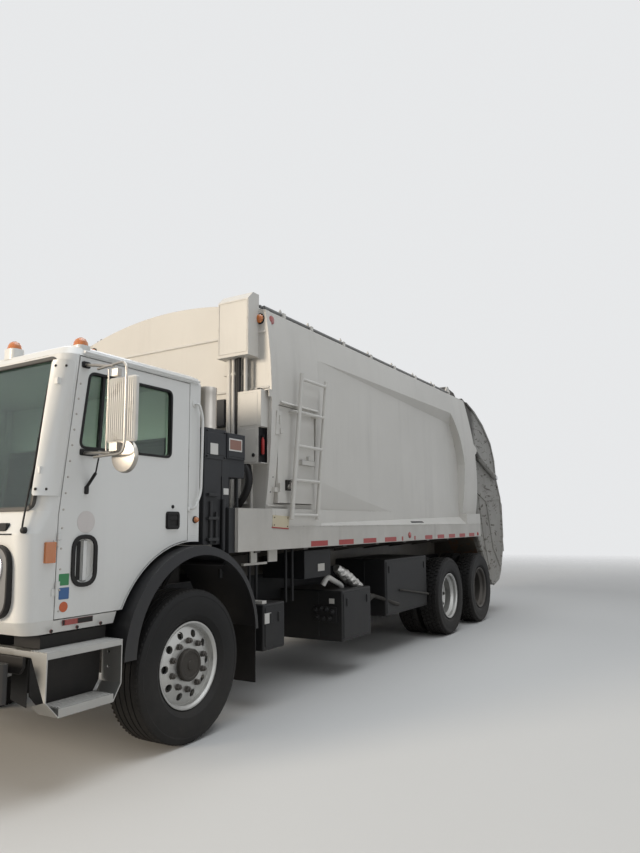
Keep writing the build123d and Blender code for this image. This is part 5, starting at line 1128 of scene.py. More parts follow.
class GARBAGE_TRUCK_OT_seats(Operator):
    """Padded seats on their stands"""
    bl_idname = "garbage_truck.seats"
    bl_label = "Seats"

    def execute(self, context):
        stands = Shape()
        for x in (-SEAT_X, SEAT_X):
            stands.boxes(((x - 0.17, x + 0.17), (-0.54, -0.20), (1.170, 1.488)),
                         ((x - 0.215, x + 0.215), (-0.555, -0.165), (1.474, 1.492)))
        stands.done("seat_stands", "cab", ["grey_plastic"], bevel=0.008, replaces=("seats",))
        for label, (size, middle, lean) in PADS.items():
            mesh = self.padded_mesh(label, size)
            for name, side in SIDES:
                piece = bpy.data.objects.new(f"seat_{label}_{name}", mesh.copy())
                context.scene.collection.objects.link(piece)
                at = from_axle((side * middle[0], middle[1], middle[2]))
                piece.data.transform(Matrix.Translation(at) @ Matrix.Rotation(lean, 4, "X"))
                piece.modifiers.new("soft", "SUBSURF").render_levels = 1
                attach(piece, "cab")
        return {"FINISHED"}

    def padded_mesh(self, name, size):
        """A rounded block puffed up by the cloth solver, with a border seam and sewn channels pressed in."""
        pad = bmesh.new()
        bmesh.ops.create_cube(pad, size=1, matrix=Matrix.Diagonal((*size, 1)))
        bmesh.ops.bevel(pad, geom=pad.edges[:], offset=0.022, segments=3, profile=0.5, affect="EDGES")
        mesh = bpy.data.meshes.new(name)
        pad.to_mesh(mesh)
        pad.free()
        piece = bpy.data.objects.new(name, mesh)
        bpy.context.scene.collection.objects.link(piece)
        grid = piece.modifiers.new("grid", "REMESH")
        grid.mode = "VOXEL"
        grid.voxel_size = PAD_GRID
        mesh = self.applied(piece)
        before = [v.co.copy() for v in mesh.vertices]
        cloth = piece.modifiers.new("cloth", "CLOTH")
        cloth.settings.use_pressure = True
        cloth.settings.uniform_pressure_force = 4.0
        cloth.settings.effector_weights.gravity = 0.0
        cloth.settings.quality = 5
        for number in range(1, PUFFED_FRAMES + 1):
            bpy.context.scene.frame_set(number)
        mesh = self.applied(piece)
        bpy.context.scene.frame_set(1)
        for vertex, start in zip(mesh.vertices, before):
            moved = vertex.co - start
            if moved.length > PAD_SWELL:
                vertex.co = start + moved.normalized() * PAD_SWELL
        for vertex in mesh.vertices:
            self.sew(vertex, size)
        mesh.materials.append(finish("seat_cloth"))
        mesh.shade_smooth()
        bpy.data.objects.remove(piece)
        return mesh

    def sew(self, vertex, size):
        """Presses the border seam and the channels across the middle into a pad."""
        x, y, z = vertex.co
        near = min(size[0] / 2 - abs(x), size[1] / 2 - abs(y))
        if z > 0 and near > 0.01:
            seam = max(0.0, 1 - abs(near - SEAM_IN) / SEAM_HALF)
            beside = abs((y / CHANNEL_PITCH) % 1 - 0.5) * CHANNEL_PITCH
            channel = max(0.0, 1 - beside / SEAM_HALF) if near > 0.06 else 0.0
            vertex.co.z -= SEAM_DEPTH * max(seam, channel)

    def applied(self, piece):
        """Gives the piece the mesh that its modifiers make, and takes them off."""
        graph = bpy.context.evaluated_depsgraph_get()
        mesh = bpy.data.meshes.new_from_object(piece.evaluated_get(graph))
        piece.modifiers.clear()
        piece.data = mesh
        return mesh


# Chassis

TOWER_PIPES = (
    # x, y, foot, top, radius
    (1.02, 0.52, 1.10, 1.92, 0.018), (1.10, 0.50, 1.20, 1.92, 0.014), (1.16, 0.43, 1.30, 1.66, 0.012),
    (1.12, 0.34, 1.45, 2.03, 0.013), (1.17, 0.36, 1.32, 1.72, 0.016), (1.10, 0.62, 1.66, 2.06, 0.012),
    (0.98, 0.64, 1.66, 2.06, 0.022), (1.16, 0.22, 1.38, 1.70, 0.014), (1.165, 0.28, 1.38, 1.62, 0.010),
)
BOXES = (
    # side, y, z, outer face
    (1, (0.870, 1.190), (0.480, 0.860), 1.190), (1, (2.240, 2.880), (0.350, 0.850), 1.180),
    (1, (3.430, 4.700), (0.450, 1.100), 1.100), (-1, (0.900, 1.500), (0.420, 0.860), 1.150),
    (-1, (3.430, 4.700), (0.450, 1.100), 1.100),
)
LATCH = 0.016  # how far a lid's latch stands out
TANK_X, TANK_Z, BAND_RADIUS = 0.75, 0.68, 0.3035


class GARBAGE_TRUCK_OT_chassis(Operator):
    """Treads with dark plates of painted shade behind them, mud flaps, the tower's fittings and the boxes'
    lids
    """
    bl_idname = "garbage_truck.chassis"
    bl_label = "Chassis fittings"

    def execute(self, context):
        for name, side in SIDES:
            self.steps(name, side)
            self.mud_flaps(name, side)
        self.tower()
        self.boxes()
        return {"FINISHED"}

    def steps(self, name, side):
        """Tread bars, and behind and above them near-black plates of painted shade for the shadow under the
        cab.
        """
        tread = Shape(side)
        for z, y0, y1 in ((0.8155, -1.235, -0.700), (0.5005, -1.140, -0.764)):
            for i in range(6):
                x = 1.06 + 0.008 + 0.026 * i
                tread.prism("y", [(x, z - 0.001), (x + 0.012, z - 0.001), (x + 0.010, z + 0.0035),
                                  (x + 0.002, z + 0.0035)], y0, y1)
        tread.done(f"tread_bars_{name}", "chassis", ["polished_aluminium"])
        # Painted shade: near-black plates behind and above the treads stand for the shadow under the cab.
        shade_plate = Shape(side)
        shade_plate.prism("x", [(-1.225, 0.778), (-0.705, 0.778), (-0.715, 0.56), (-0.78, 0.47), (-1.14, 0.47),
                          (-1.215, 0.56)], 1.040, 1.048)
        shade_plate.prism("y", [(0.90, 0.53), (1.046, 0.50), (1.046, 0.778), (0.90, 0.778)], -1.232, -1.226)
        shade_plate.box((0.86, 1.10), (-1.20, -0.72), (0.822, 0.895))
        shade_plate.done(f"step_riser_{name}", "chassis", ["seal_rubber"], bevel=0.003)

    def mud_flaps(self, name, side):
        flap = Shape(side)
        flap.boxes(((0.86, 1.215), (0.726, 0.734), (0.27, 0.78)),
                   ((0.86, 1.215), (0.734, 0.742), (0.70, 0.78)))
        flap.done(f"front_flap_{name}", "chassis", ["seal_rubber"], bevel=0.002)

    def tower(self):
        """The guard's sleeve, the filter boxes with a dark block of painted shade in front of the apron,
        hydraulic lines and blank tags.
        """
        guard = Shape()
        guard.turned((1.080, 0.255), [(2.262, 0.070), (2.262, 0.0755), (2.300, 0.0765), (2.304, 0.0748),
                                      (2.560, 0.0748), (2.564, 0.0765), (2.603, 0.0765), (2.603, 0.0715),
                                      (2.50, 0.0715), (2.262, 0.070)], 64, "z")
        guard.done("stack_guard", "chassis", ["stainless"])
        boxes = Shape()
        boxes.boxes(((0.900, 1.1555), (0.147, 0.408), (2.030, 2.272)),
                    ((0.900, 1.1640), (0.410, 0.645), (2.048, 2.256)),
                    ((0.940, 1.1535), (0.360, 0.440), (1.560, 2.033)),
                    ((0.940, 1.1400), (0.430, 0.600), (1.910, 2.050)),
                    # painted shade: this dark block in front of the apron stands for the shadow there
                    ((1.020, 1.1950), (0.400, 0.478), (1.300, 1.655)),
                    ((0.600, 0.775), (0.840, 0.952), (2.400, 2.640)))
        for y, z, out in ((0.277, 2.151, 1.1555), (0.5275, 2.152, 1.164)):
            boxes.prism("x", oblong((y, z), 0.215, 0.170, 0.012), out - 0.002, out + 0.004)
        for y, z in ((0.17, 2.25), (0.385, 2.25), (0.17, 2.05), (0.385, 2.05), (0.43, 2.24), (0.625, 2.24),
                     (0.43, 2.065), (0.625, 2.065)):
            boxes.turned((y, z), [(1.154, 0.009), (1.168, 0.008), (1.169, 0.004)], 6)
        boxes.done("filter_boxes", "chassis", ["tower_paint"], bevel=0.006)
        pipes = Shape()
        for x, y, low, high, radius in TOWER_PIPES:
            pipes.tube([(x, y, low), (x, y, high)], radius, 0.0, 10)
        pipes.tube([(0.66, 0.44, 1.30), (1.05, 0.54, 1.22)], 0.02, 0.0, 10)
        pipes.boxes(*(((1.150, 1.180), (0.180, 0.300), (z, z + 0.022)) for z in (1.40, 1.56, 1.74)))
        pipes.done("tower_pipes", "chassis", ["tower_paint"], smooth=50)
        tags = Shape()
        tags.prism("x", oblong((0.253, 2.110), 0.092, 0.088, 0.004), 1.158, 1.1610)
        tags.prism("x", oblong((0.410, 1.782), 0.062, 0.050, 0.004), 1.152, 1.1560)
        tags.prism("x", oblong((0.5125, 2.163), 0.170, 0.102, 0.004), 1.166, 1.1690)
        tags.use(1)
        tags.prism("x", oblong((0.5125, 2.163), 0.148, 0.080, 0.003), 1.168, 1.1698)
        tags.done("tower_tags", "chassis", ["pale_plate", "brown_plate"])

    def boxes(self):
        """Lids with their latches, the wrapped pipe, valves, brackets, tags and the tank's bands."""
        lids = Shape()
        for side, y, z, outer in BOXES:
            lids.side = side
            lids.prism("x", oblong(((y[0] + y[1]) / 2, (z[0] + z[1]) / 2), y[1] - y[0] - 0.05,
                                   z[1] - z[0] - 0.06, 0.02), outer - 0.003, outer + 0.006)
            latch_z = (z[1] - 0.16, z[1] - 0.08)
            lids.boxes(((outer, outer + LATCH), (y[0] + 0.08, y[0] + 0.115), latch_z),
                       ((outer, outer + LATCH), (y[1] - 0.115, y[1] - 0.08), latch_z),
                       ((outer - 0.30, outer - 0.27), (y[0] - 0.004, y[0] + 0.01),
                        (z[0] + 0.03, z[1] - 0.03)))
        lids.done("box_lids", "chassis", ["chassis_paint"], bevel=0.004)
        pipe = Shape()
        pipe.tube([(1.112, 3.80, 0.72), (1.135, 3.82, 0.72), (1.135, 4.66, 0.60), (1.112, 4.68, 0.60)], 0.013,
                  0.03)
        pipe.done("box_handle", "chassis", ["cast_iron"])
        wrap = Shape()
        self.sleeve(wrap, Vector((0.99, 2.46, 1.060)), Vector((1.062, 2.90, 0.800)), 0.062)
        wrap.use(1)
        wrap.tube([(0.96, 2.235, 0.900), (1.00, 2.26, 0.985), (1.00, 2.56, 0.870), (0.96, 2.62, 0.800)],
                  0.028, 0.06, 14)
        wrap.use(2)
        wrap.turned((1.03, 0.70), [(3.04, 0.020), (3.06, 0.050), (3.10, 0.055), (3.20, 0.030), (3.26, 0.024)],
                    24, "y")
        wrap.tube([(1.03, 3.25, 0.70), (1.06, 3.40, 0.66), (1.114, 3.56, 0.60), (1.114, 3.74, 0.56)], 0.022,
                  0.08)
        wrap.tube([(1.03, 3.05, 0.70), (0.80, 3.02, 0.72), (0.44, 3.02, 0.78)], 0.02, 0.06)
        wrap.done("wrapped_pipe", "chassis", ["foil", "pale_plate", "cast_iron"], smooth=60)
        valves = Shape()
        valves.boxes(((0.85, 1.12), (2.222, 2.241), (0.535, 0.690)),
                     ((0.50, 1.00), (1.820, 2.330), (0.99, 1.262)))
        for x, z in ((0.880, 0.650), (0.945, 0.668), (1.010, 0.662), (1.075, 0.640), (0.900, 0.580),
                     (0.970, 0.570), (1.040, 0.575)):
            valves.turned((x, z), [(2.224, 0.026), (2.212, 0.026), (2.206, 0.020), (2.206, 0.013),
                                   (2.190, 0.011), (2.189, 0.003)], 18, "y")
        for y in (0.98, 1.08, 1.55, 1.66):
            valves.tube([(0.96, y, 0.80), (0.96, y, 1.28)], 0.014, 0.0, 10)
        valves.done("valve_block", "chassis", ["chassis_paint"], bevel=0.004)
        brackets = Shape()
        brackets.boxes(((0.97, 0.985), (0.972, 1.062), (1.185, 1.300)),
                       ((0.97, 0.985), (1.235, 1.375), (1.185, 1.300)),
                       ((0.955, 0.985), (0.870, 1.215), (1.170, 1.190)),
                       ((1.001, 1.004), (2.07, 2.20), (1.050, 1.125)),
                       ((1.040, 1.100), (2.2175, 2.2225), (0.722, 0.772)),
                       ((0.86, 1.17), (0.885, 0.945), (0.858, 0.885)))
        brackets.done("sill_brackets", "chassis", ["body_paint"], bevel=0.002)
        tag = Shape().box((1.188, 1.1985), (0.885, 0.975), (0.700, 0.785))
        tag.done("box_tags", "chassis", ["pale_plate"])
        bands = Shape(-1)
        ring = [(TANK_X + BAND_RADIUS * cos(t), TANK_Z + BAND_RADIUS * sin(t)) for t in turns(56)]
        for y in (1.95, 2.50, 3.05):
            bands.prism("y", ring, y - 0.03, y + 0.03)
        bands.done("tank_bands", "chassis", ["stainless"])

    def sleeve(self, shape, start, end, radius):
        """Crumpled heat wrap round a straight run of pipe."""
        ahead = (end - start).normalized()
        across = ahead.orthogonal().normalized()
        up = ahead.cross(across)
        rings = []
        for i in range(33):
            t = i / 32
            swell = radius * sin(pi * (0.08 + 0.84 * t)) ** 0.3
            ring = []
            for turn in turns(36):
                fold = (1 + 0.09 * sin(5 * turn + 9 * t) * cos(21 * t) + 0.05 * sin(47 * t + 3 * turn)
                        + 0.03 * sin(11 * turn - 30 * t))
                ring.append(tuple(start.lerp(end, t) + (across * cos(turn) + up * sin(turn)) * swell * fold))
            rings.append(ring)
        shape.loft(rings)


# Body

SIDE_X = 1.219  # outer face of the skirt
TAPE = (
    # start, pitch, count and length of the red pieces
    (1.591, 0.535, 4, 0.311), (4.405, 0.440, 5, 0.250), (3.665, 0.380, 2, 0.040),
)
TAPE_Z = 1.312
# half width and height of the bulging side
SIDE_LOW, SIDE_WIDE, SIDE_TOP = (1.152, 1.655), (1.219, 2.620), (1.148, 3.440)
WALL_Y = 0.950  # face of the front wall
WALL_LAMP_AT = (1.095, 3.360)
SIDE_LAMP_AT = (1.030, 3.358)
CABINET_Y = (0.844, 0.9505)
CABINET_OUTLINE = [(0.944, 2.042), (1.150, 2.042), (1.150, 2.360), (1.182, 2.360), (1.182, 2.687),
                   (0.944, 2.687)]
PIPES_TOP = 3.015
WALL_PIPES = (
    # x, y, radius, foot, place of its finish in the list
    (0.815, 0.868, 0.0180, 1.50, 1), (0.852, 0.868, 0.0120, 1.50, 1), (0.902, 0.880, 0.0260, 1.50, 2),
    (0.940, 0.850, 0.0160, 2.69, 2), (0.995, 0.868, 0.0170, 2.69, 1), (0.770, 0.915, 0.0110, 1.45, 0),
)
ROOF_CLAMPS_Y = (1.30, 1.80, 2.48, 3.15, 3.82, 4.50, 5.18, 5.80)


def side_face(z):
    """Half width of the bulging side at a height."""
    end = SIDE_LOW if z < SIDE_WIDE[1] else SIDE_TOP
    share = (z - SIDE_WIDE[1]) / (end[1] - SIDE_WIDE[1])
    return SIDE_WIDE[0] - (SIDE_WIDE[0] - end[0]) * share ** 2


class GARBAGE_TRUCK_OT_body(Operator):
    """Tape, markers, seams, the door's strip and latch, the cabinet's niche and the roof's pipes"""
    bl_idname = "garbage_truck.body"
    bl_label = "Body fittings"

    def execute(self, context):
        self.tape()
        self.front_wall()
        self.side_fittings()
        self.cabinet()
        self.roof()
        return {"FINISHED"}

    def tape(self):
        height = settings().sizes.tape
        for name, side in SIDES:
            shape = Shape(side)
            for start, pitch, count, red in TAPE:
                for i in range(count):
                    y = start + pitch * i
                    shape.box((SIDE_X - 0.002, SIDE_X + 0.0012), (y, y + red), (TAPE_Z, TAPE_Z + height))
            shape.done(f"tape_{name}", "chassis", ["red_film"])
            lamp = Shape(side)
            for y, level, radius in ((3.90, 1.375, 0.030), (6.58, 1.345, 0.022)):
                lamp.turned((y, level), standing_on(SIDE_X, (-0.003, radius + 0.008), (0.008, radius + 0.008),
                                                    (0.010, radius), (0.016, radius * 0.7), (0.018, 0.003)),
                            28)
            lamp.done(f"side_lamps_{name}", "chassis", ["red_lens"], smooth=50)

    def front_wall(self):
        """Pressed ribs, and on each side the rim, an amber lamp and a red one round the corner."""
        y = WALL_Y
        ribs = Shape()
        for z in (3.235, 2.720):
            ribs.prism("x", [(y + 0.002, z - 0.014), (y - 0.011, z - 0.004), (y - 0.011, z + 0.004),
                             (y + 0.002, z + 0.020)], -side_face(z) + 0.02, side_face(z) - 0.02)
        for x in (-0.62, -0.10, 0.42):
            ribs.prism("z", [(x - 0.018, y + 0.002), (x - 0.008, y - 0.009), (x + 0.008, y - 0.009),
                             (x + 0.018, y + 0.002)], 1.62, 2.70)
        ribs.done("front_wall_ribs", "chassis", ["body_paint"])
        edge = [(side_face(z) + 0.001, z) for z in [1.66 + 0.0712 * i for i in range(26)]]
        for name, side in SIDES:
            rim = Shape(side)
            rim.loft([[(x - 0.024, y - 0.004, z), (x + 0.0045, y - 0.004, z), (x + 0.0045, y + 0.064, z),
                       (x - 0.024, y + 0.064, z)] for x, z in edge])
            rim.done(f"wall_rim_{name}", "chassis", ["body_paint"])
            lamp = Shape(side)
            lamp.turned(WALL_LAMP_AT, standing_on(y, (0.002, 0.050), (-0.008, 0.050), (-0.011, 0.042)), 32,
                        "y")
            lamp.use(1)
            lamp.turned(WALL_LAMP_AT, standing_on(y, (-0.009, 0.041), (-0.026, 0.036), (-0.034, 0.020),
                                                  (-0.036, 0.002)), 32, "y")
            lamp.use(2)
            lamp.turned(SIDE_LAMP_AT, standing_on(side_face(SIDE_LAMP_AT[1]), (-0.006, 0.040), (0.006, 0.040),
                                                  (0.012, 0.028), (0.014, 0.002)), 32)
            lamp.done(f"wall_lamps_{name}", "chassis", ["seal_rubber", "amber_lens", "red_lens"], smooth=50)

    def side_fittings(self):
        """Hinge strip, drip rail and latch of the access door, the blank plate, apron ends and seams."""
        strip = Shape()
        strip.loft([[(side_face(z) + out, y, z) for out, y in ((-0.006, y0), (0.012, y0), (0.012, y0 + 0.075),
                                                               (-0.006, y0 + 0.075))]
                    for z, y0 in ((2.305, 1.008), (2.41, 1.014), (2.52, 1.020))])
        strip.box((1.218, 1.236), (1.070, 1.110), (2.318, 2.365))
        strip.prism("x", [(0.955, 1.674), (1.265, 1.674), (1.265, 1.690), (0.955, 1.690)], 1.150, 1.172)
        strip.use(1)
        for y, z in ((1.01, 1.93), (0.99, 1.80), (1.045, 2.34)):
            strip.turned((y, z), standing_on(side_face(z), (-0.002, 0.010), (0.008, 0.009), (0.009, 0.004)),
                         12)
        strip.done("hinge_strip", "chassis", ["body_paint", "cast_iron"], bevel=0.002)
        drip = Shape()
        drip.prism("y", [(side_face(2.60) - 0.004, 2.595), (1.246, 2.590), (1.248, 2.600),
                         (side_face(2.62) - 0.004, 2.622)], 1.080, 1.720)
        drip.done("door_drip", "chassis", ["body_paint"], bevel=0.002)
        latch = Shape()
        latch.box((1.203, 1.226), (1.180, 1.245), (1.818, 1.912))
        latch.use(1)
        latch.box((1.222, 1.238), (1.225, 1.292), (1.835, 1.900))
        latch.turned((1.215, 1.850), [(1.222, 0.022), (1.240, 0.020), (1.242, 0.006)], 20)
        latch.tube([(1.228, 1.270, 1.84), (1.228, 1.255, 1.575)], 0.0045, 0.0, 8)
        latch.use(2)
        latch.boxes(((1.202, 1.238), (1.415, 1.640), (2.062, 2.110)),
                    ((1.202, 1.228), (1.540, 1.585), (2.108, 2.150)))
        latch.done("door_latch", "access_door", ["cast_iron", "stainless", "body_paint"], bevel=0.003)
        plate = Shape()
        plate.prism("x", [(0.948, 1.494), (1.208, 1.479), (1.222, 1.589), (0.966, 1.600)], 1.2185, 1.2225)
        plate.use(1)
        plate.prism("x", [(0.947, 1.490), (1.207, 1.475), (1.208, 1.486), (0.948, 1.501)], 1.2220, 1.2240)
        plate.done("blank_plate", "chassis", ["beige_plate", "red_film"])
        bolts = Shape()
        for at in ((0.985, 1.515), (1.195, 1.575), (0.990, 1.580), (1.190, 1.500)):
            bolts.turned(at, [(1.222, 0.006), (1.226, 0.005)], 8)
        bolts.done("plate_bolts", "chassis", ["cast_iron"])
        ledge_lamp = Shape()
        ledge_lamp.loft([[(1.160, 4.24 - w, z), (1.195, 4.24 - w, z - 0.02), (1.195, 4.24 + w, z - 0.02),
                          (1.160, 4.24 + w, z)] for z, w in ((1.475, 0.26), (1.550, 0.20))])
        ledge_lamp.done("ledge_lamp", "chassis", ["chassis_paint"], bevel=0.01)
        for name, side in SIDES:
            end = Shape(side)
            end.boxes(((1.2170, 1.2225), (0.474, 0.960), (1.3035, 1.654)),
                      ((1.1950, 1.2225), (0.474, 0.482), (1.3035, 1.654)))
            end.done(f"apron_end_{name}", "chassis", ["floor_paint"], bevel=0.002)
            seam = Shape(side)
            seam.box((SIDE_X - 0.004, SIDE_X + 0.003), (0.66, 6.72), (1.498, 1.504))
            seam.done(f"side_seams_{name}", "chassis", ["body_paint"])

    def cabinet(self):
        """The cabinet's case with painted shade lining its niche, the extinguisher in the niche, the cover's
        trim and the pipes on the wall.
        """
        case = Shape()
        case.prism("y", CABINET_OUTLINE, *CABINET_Y)
        case.boxes(((1.148, 1.182), CABINET_Y, (2.042, 2.048)),
                   ((1.148, 1.182), (0.942, 0.9505), (2.042, 2.362)))
        case.prism("y", oblong((1.047, 2.520), 0.190, 0.290, 0.006), 0.8415, 0.8445)
        case.prism("y", oblong((1.042, 2.200), 0.180, 0.290, 0.006), 0.8415, 0.8445)
        case.boxes(((1.02, 1.225), (0.905, 0.9505), (2.686, 2.694)),
                   ((1.217, 1.225), (0.905, 0.9505), (2.630, 2.694)))
        case.use(1)
        # painted shade: near-black sheets on the niche's back and rear wall stand for the shadow in it
        case.boxes(((1.1495, 1.1515), (0.848, 0.943), (2.050, 2.358)),
                   ((1.149, 1.180), (0.9405, 0.9425), (2.050, 2.358)))
        case.turned((1.104, 2.115), [(0.846, 0.018), (0.838, 0.018), (0.836, 0.012)], 24, "y")
        case.box((1.10, 1.135), (0.895, 0.935), (2.694, 2.712))
        case.done("cabinet_case", "chassis", ["body_paint", "seal_rubber"], bevel=0.003,
                  replaces=("control_cabinet",))
        bottle = Shape()
        bottle.turned((1.167, 0.892), [(2.120, 0.010), (2.124, 0.0145), (2.240, 0.0145), (2.256, 0.009),
                                       (2.270, 0.007), (2.271, 0.002)], 24, "z")
        bottle.use(1)
        bottle.boxes(((1.152, 1.180), (0.884, 0.900), (2.268, 2.285)),
                     ((1.152, 1.168), (0.876, 0.908), (2.110, 2.122)))
        bottle.done("extinguisher", "chassis", ["red_film", "seal_rubber"], smooth=50)
        cover = Shape()
        cover.frame("y", oblong((0.910, 3.270), 0.320, 0.480, 0.010), 0.0, 0.005, 0.786, 0.7905)
        cover.box((0.735, 1.085), (0.782, 0.950), (3.000, 3.010))
        cover.done("cover_trim", "chassis", ["body_paint"], bevel=0.002)
        pipes = Shape()
        for x, y, radius, low, coat in WALL_PIPES:
            pipes.use(coat)
            pipes.tube([(x, y, low), (x, y, PIPES_TOP)], radius)
        pipes.use(2)
        pipes.tube([(0.98, 0.90, 2.06), (1.03, 0.86, 2.00), (1.065, 0.84, 1.90), (1.035, 0.83, 1.78),
                    (0.94, 0.82, 1.67), (0.92, 0.82, 1.50)], 0.034, 0.06, 14)
        pipes.use(1)
        pipes.tube([(1.005, 0.945, 2.06), (1.005, 0.945, 1.66)], 0.016, 0.0, 10)
        pipes.boxes(*(((0.755, 0.930), (0.862, 0.952), (z + 0.004, z + 0.024)) for z in (1.70, 2.30, 2.85)))
        pipes.done("wall_pipes", "chassis", ["stainless", "body_paint", "seal_rubber"], smooth=50)

    def roof(self):
        """Two pipes along each edge with their clamps, and low bows across."""
        for name, side in SIDES:
            shape = Shape(side)
            for x, z in ((1.050, 3.500), (1.098, 3.484)):
                shape.tube([(x, 1.000, z), (x, 5.860, z)], 0.016)
            shape.use(1)
            for y in ROOF_CLAMPS_Y:
                shape.box((1.024, 1.126), (y - 0.022, y + 0.022), (3.455, 3.500))
                shape.tube([(1.074, y, 3.49), (1.074, y, 3.545)], 0.008, 0.0, 8)
                shape.turned((1.074, y), [(3.515, 0.016), (3.528, 0.016)], 6, "z")
            shape.done(f"roof_pipes_{name}", "chassis", ["lamp_bezel", "body_paint"])
        bows = Shape()
        line = [(x, 3.440 + 0.170 * (1 - (x / 1.148) ** 2))
                for x in [-1.10 + 2.20 * i / 16 for i in range(17)]]
        for y in (1.60, 2.60, 3.60, 4.60, 5.50):
            bows.loft([[(x, y - 0.03, z - 0.004), (x, y + 0.03, z - 0.004), (x, y + 0.022, z + 0.008),
                        (x, y - 0.022, z + 0.008)] for x, z in line])
        bows.done("roof_bows", "chassis", ["body_paint"])


# Tailgate

SEAM_Y = DRIVE_AXLES_Y[1] + 0.120  # where the tailgate's points are counted from


def tail_points(*points):
    return [(SEAM_Y + y, z) for y, z in points]


BACK_EDGE = tail_points((0.810, 0.490), (1.130, 0.568), (1.258, 0.705), (1.405, 1.000), (1.485, 1.500),
                        (1.425, 1.950), (1.205, 2.300), (1.155, 2.600), (0.978, 2.880), (0.576, 3.152),
                        (0.145, 3.330), (-0.240, 3.425))
HOOD_BACK = tail_points((1.222, 2.300), (1.172, 2.605), (0.992, 2.890), (0.586, 3.165), (0.150, 3.344),
                        (-0.235, 3.440))
SIDE_PLATE_X = 1.122
SIDE_RIBS = (
    # line, width, outer face
    (BACK_EDGE, 0.045, 1.142),
    (tail_points((0.0, 1.36), (0.0, 1.95), (-0.115, 2.65), (-0.375, 3.44)), 0.045, 1.136),
    (tail_points((0.03, 1.32), (0.62, 0.66)), 0.05, 1.142),
    (tail_points((0.05, 2.05), (0.55, 1.90), (1.38, 1.95)), 0.06, 1.140),
    (tail_points((0.62, 1.88), (0.90, 1.10), (1.26, 0.78)), 0.06, 1.140),
    (tail_points((0.20, 1.95), (0.42, 1.25), (0.66, 0.70)), 0.045, 1.136),
)
RIB_TAPER = 0.8  # width of a rib's top as a share of its foot
LAMP_BOX_BACK = tail_points((1.605, 0))[0][0]
TAIL_LAMP_Z = 0.832


def band(line, width):
    """The two sides of a band of even width along an open line."""
    left, right = [], []
    for i, (a, b) in enumerate(line):
        (a0, b0), (a1, b1) = line[max(i - 1, 0)], line[min(i + 1, len(line) - 1)]
        run = hypot(a1 - a0, b1 - b0)
        step = (-(b1 - b0) / run * width / 2, (a1 - a0) / run * width / 2)
        left.append((a + step[0], b + step[1]))
        right.append((a - step[0], b - step[1]))
    return left, right


def midway(a, b):
    return (a[0] + b[0]) / 2, (a[1] + b[1]) / 2


class GARBAGE_TRUCK_OT_tailgate(Operator):
    """Flanges, ribs, lamps and latches of the tailgate"""
    bl_idname = "garbage_truck.tailgate"
    bl_label = "Tailgate fittings"

    def execute(self, context):
        for name, side in SIDES:
            self.flanges(name, side)
            self.lamps(name, side)
        self.hood()
        return {"FINISHED"}

    def rib(self, shape, line, width, high):
        rings = []
        for a, b in zip(*band(line, width)):
            mid = midway(a, b)
            top = [[m + RIB_TAPER * (v - m) for v, m in zip(end, mid)] for end in (a, b)]
            rings.append([(SIDE_PLATE_X, *a), (high, *top[0]), (high, *top[1]), (SIDE_PLATE_X, *b)])
        shape.loft(rings)

    def flanges(self, name, side):
        """Ribs of the side plate, the bracket at the seam and the eye of the packer's pin."""
        shape = Shape(side)
        for line, width, high in SIDE_RIBS:
            self.rib(shape, line, width, high)
        shape.box((1.118, 1.150), (DRIVE_AXLES_Y[1] + 0.135, DRIVE_AXLES_Y[1] + 0.21), (1.42, 1.60))
        shape.turned(tail_points((1.080, 2.290))[0], [(1.120, 0.085), (1.136, 0.080), (1.137, 0.03)], 28)
        shape.done(f"tailgate_ribs_{name}", "tailgate", ["tailgate_paint"], smooth=30)

    def lamps(self, name, side):
        """A box of three lamps under the sill, outside the blade's reach."""
        back = LAMP_BOX_BACK
        panel = Shape(side)
        panel.box((0.675, 1.045), (back - 0.230, back), (0.765, 0.900))
        panel.done(f"lamp_box_{name}", "tailgate", ["tailgate_paint"], bevel=0.006)
        lamp = Shape(side)
        for x, coat in ((0.745, 1), (0.860, 0), (0.975, 0)):
            lamp.use(2)
            lamp.turned((x, TAIL_LAMP_Z), standing_on(back, (-0.004, 0.053), (0.006, 0.053), (0.008, 0.046)),
                        32, "y")
            lamp.use(coat)
            lamp.turned((x, TAIL_LAMP_Z), standing_on(back, (0.005, 0.045), (0.015, 0.041), (0.021, 0.026),
                                                      (0.023, 0.002)), 32, "y")
        lamp.done(f"tail_lamps_{name}", "tailgate", ["red_lens", "amber_lens", "seal_rubber"], smooth=50)

    def hood(self):
        """Ribs over the hood, the bar at its foot and the five lamps on the bar."""
        shape = Shape()
        left, right = band(HOOD_BACK, 0.036)
        for x in (-0.70, -0.24, 0.24, 0.70):
            shape.loft([[(x - 0.025, *foot), (x + 0.025, *foot), (x + 0.020, *top), (x - 0.020, *top)]
                        for top, foot in zip(right, map(midway, left, right))])
        y, z = HOOD_BACK[0]
        shape.box((-1.062, 1.062), (y - 0.030, y + 0.012), (z - 0.045, z + 0.045))
        shape.done("hood_ribs", "tailgate", ["tailgate_paint"], bevel=0.003)
        lamp = Shape()
        for x in (-0.90, -0.10, 0.0, 0.10, 0.90):
            lamp.use(0)
            lamp.turned((x, z), standing_on(y, (0.010, 0.036), (0.018, 0.036), (0.020, 0.030)), 24, "y")
            lamp.use(1)
            lamp.turned((x, z),
                        standing_on(y, (0.018, 0.030), (0.028, 0.026), (0.032, 0.012), (0.033, 0.002)), 24,
                        "y")
        lamp.done("hood_lamps", "tailgate", ["seal_rubber", "red_lens"], smooth=50)


# Stage, lamps and camera

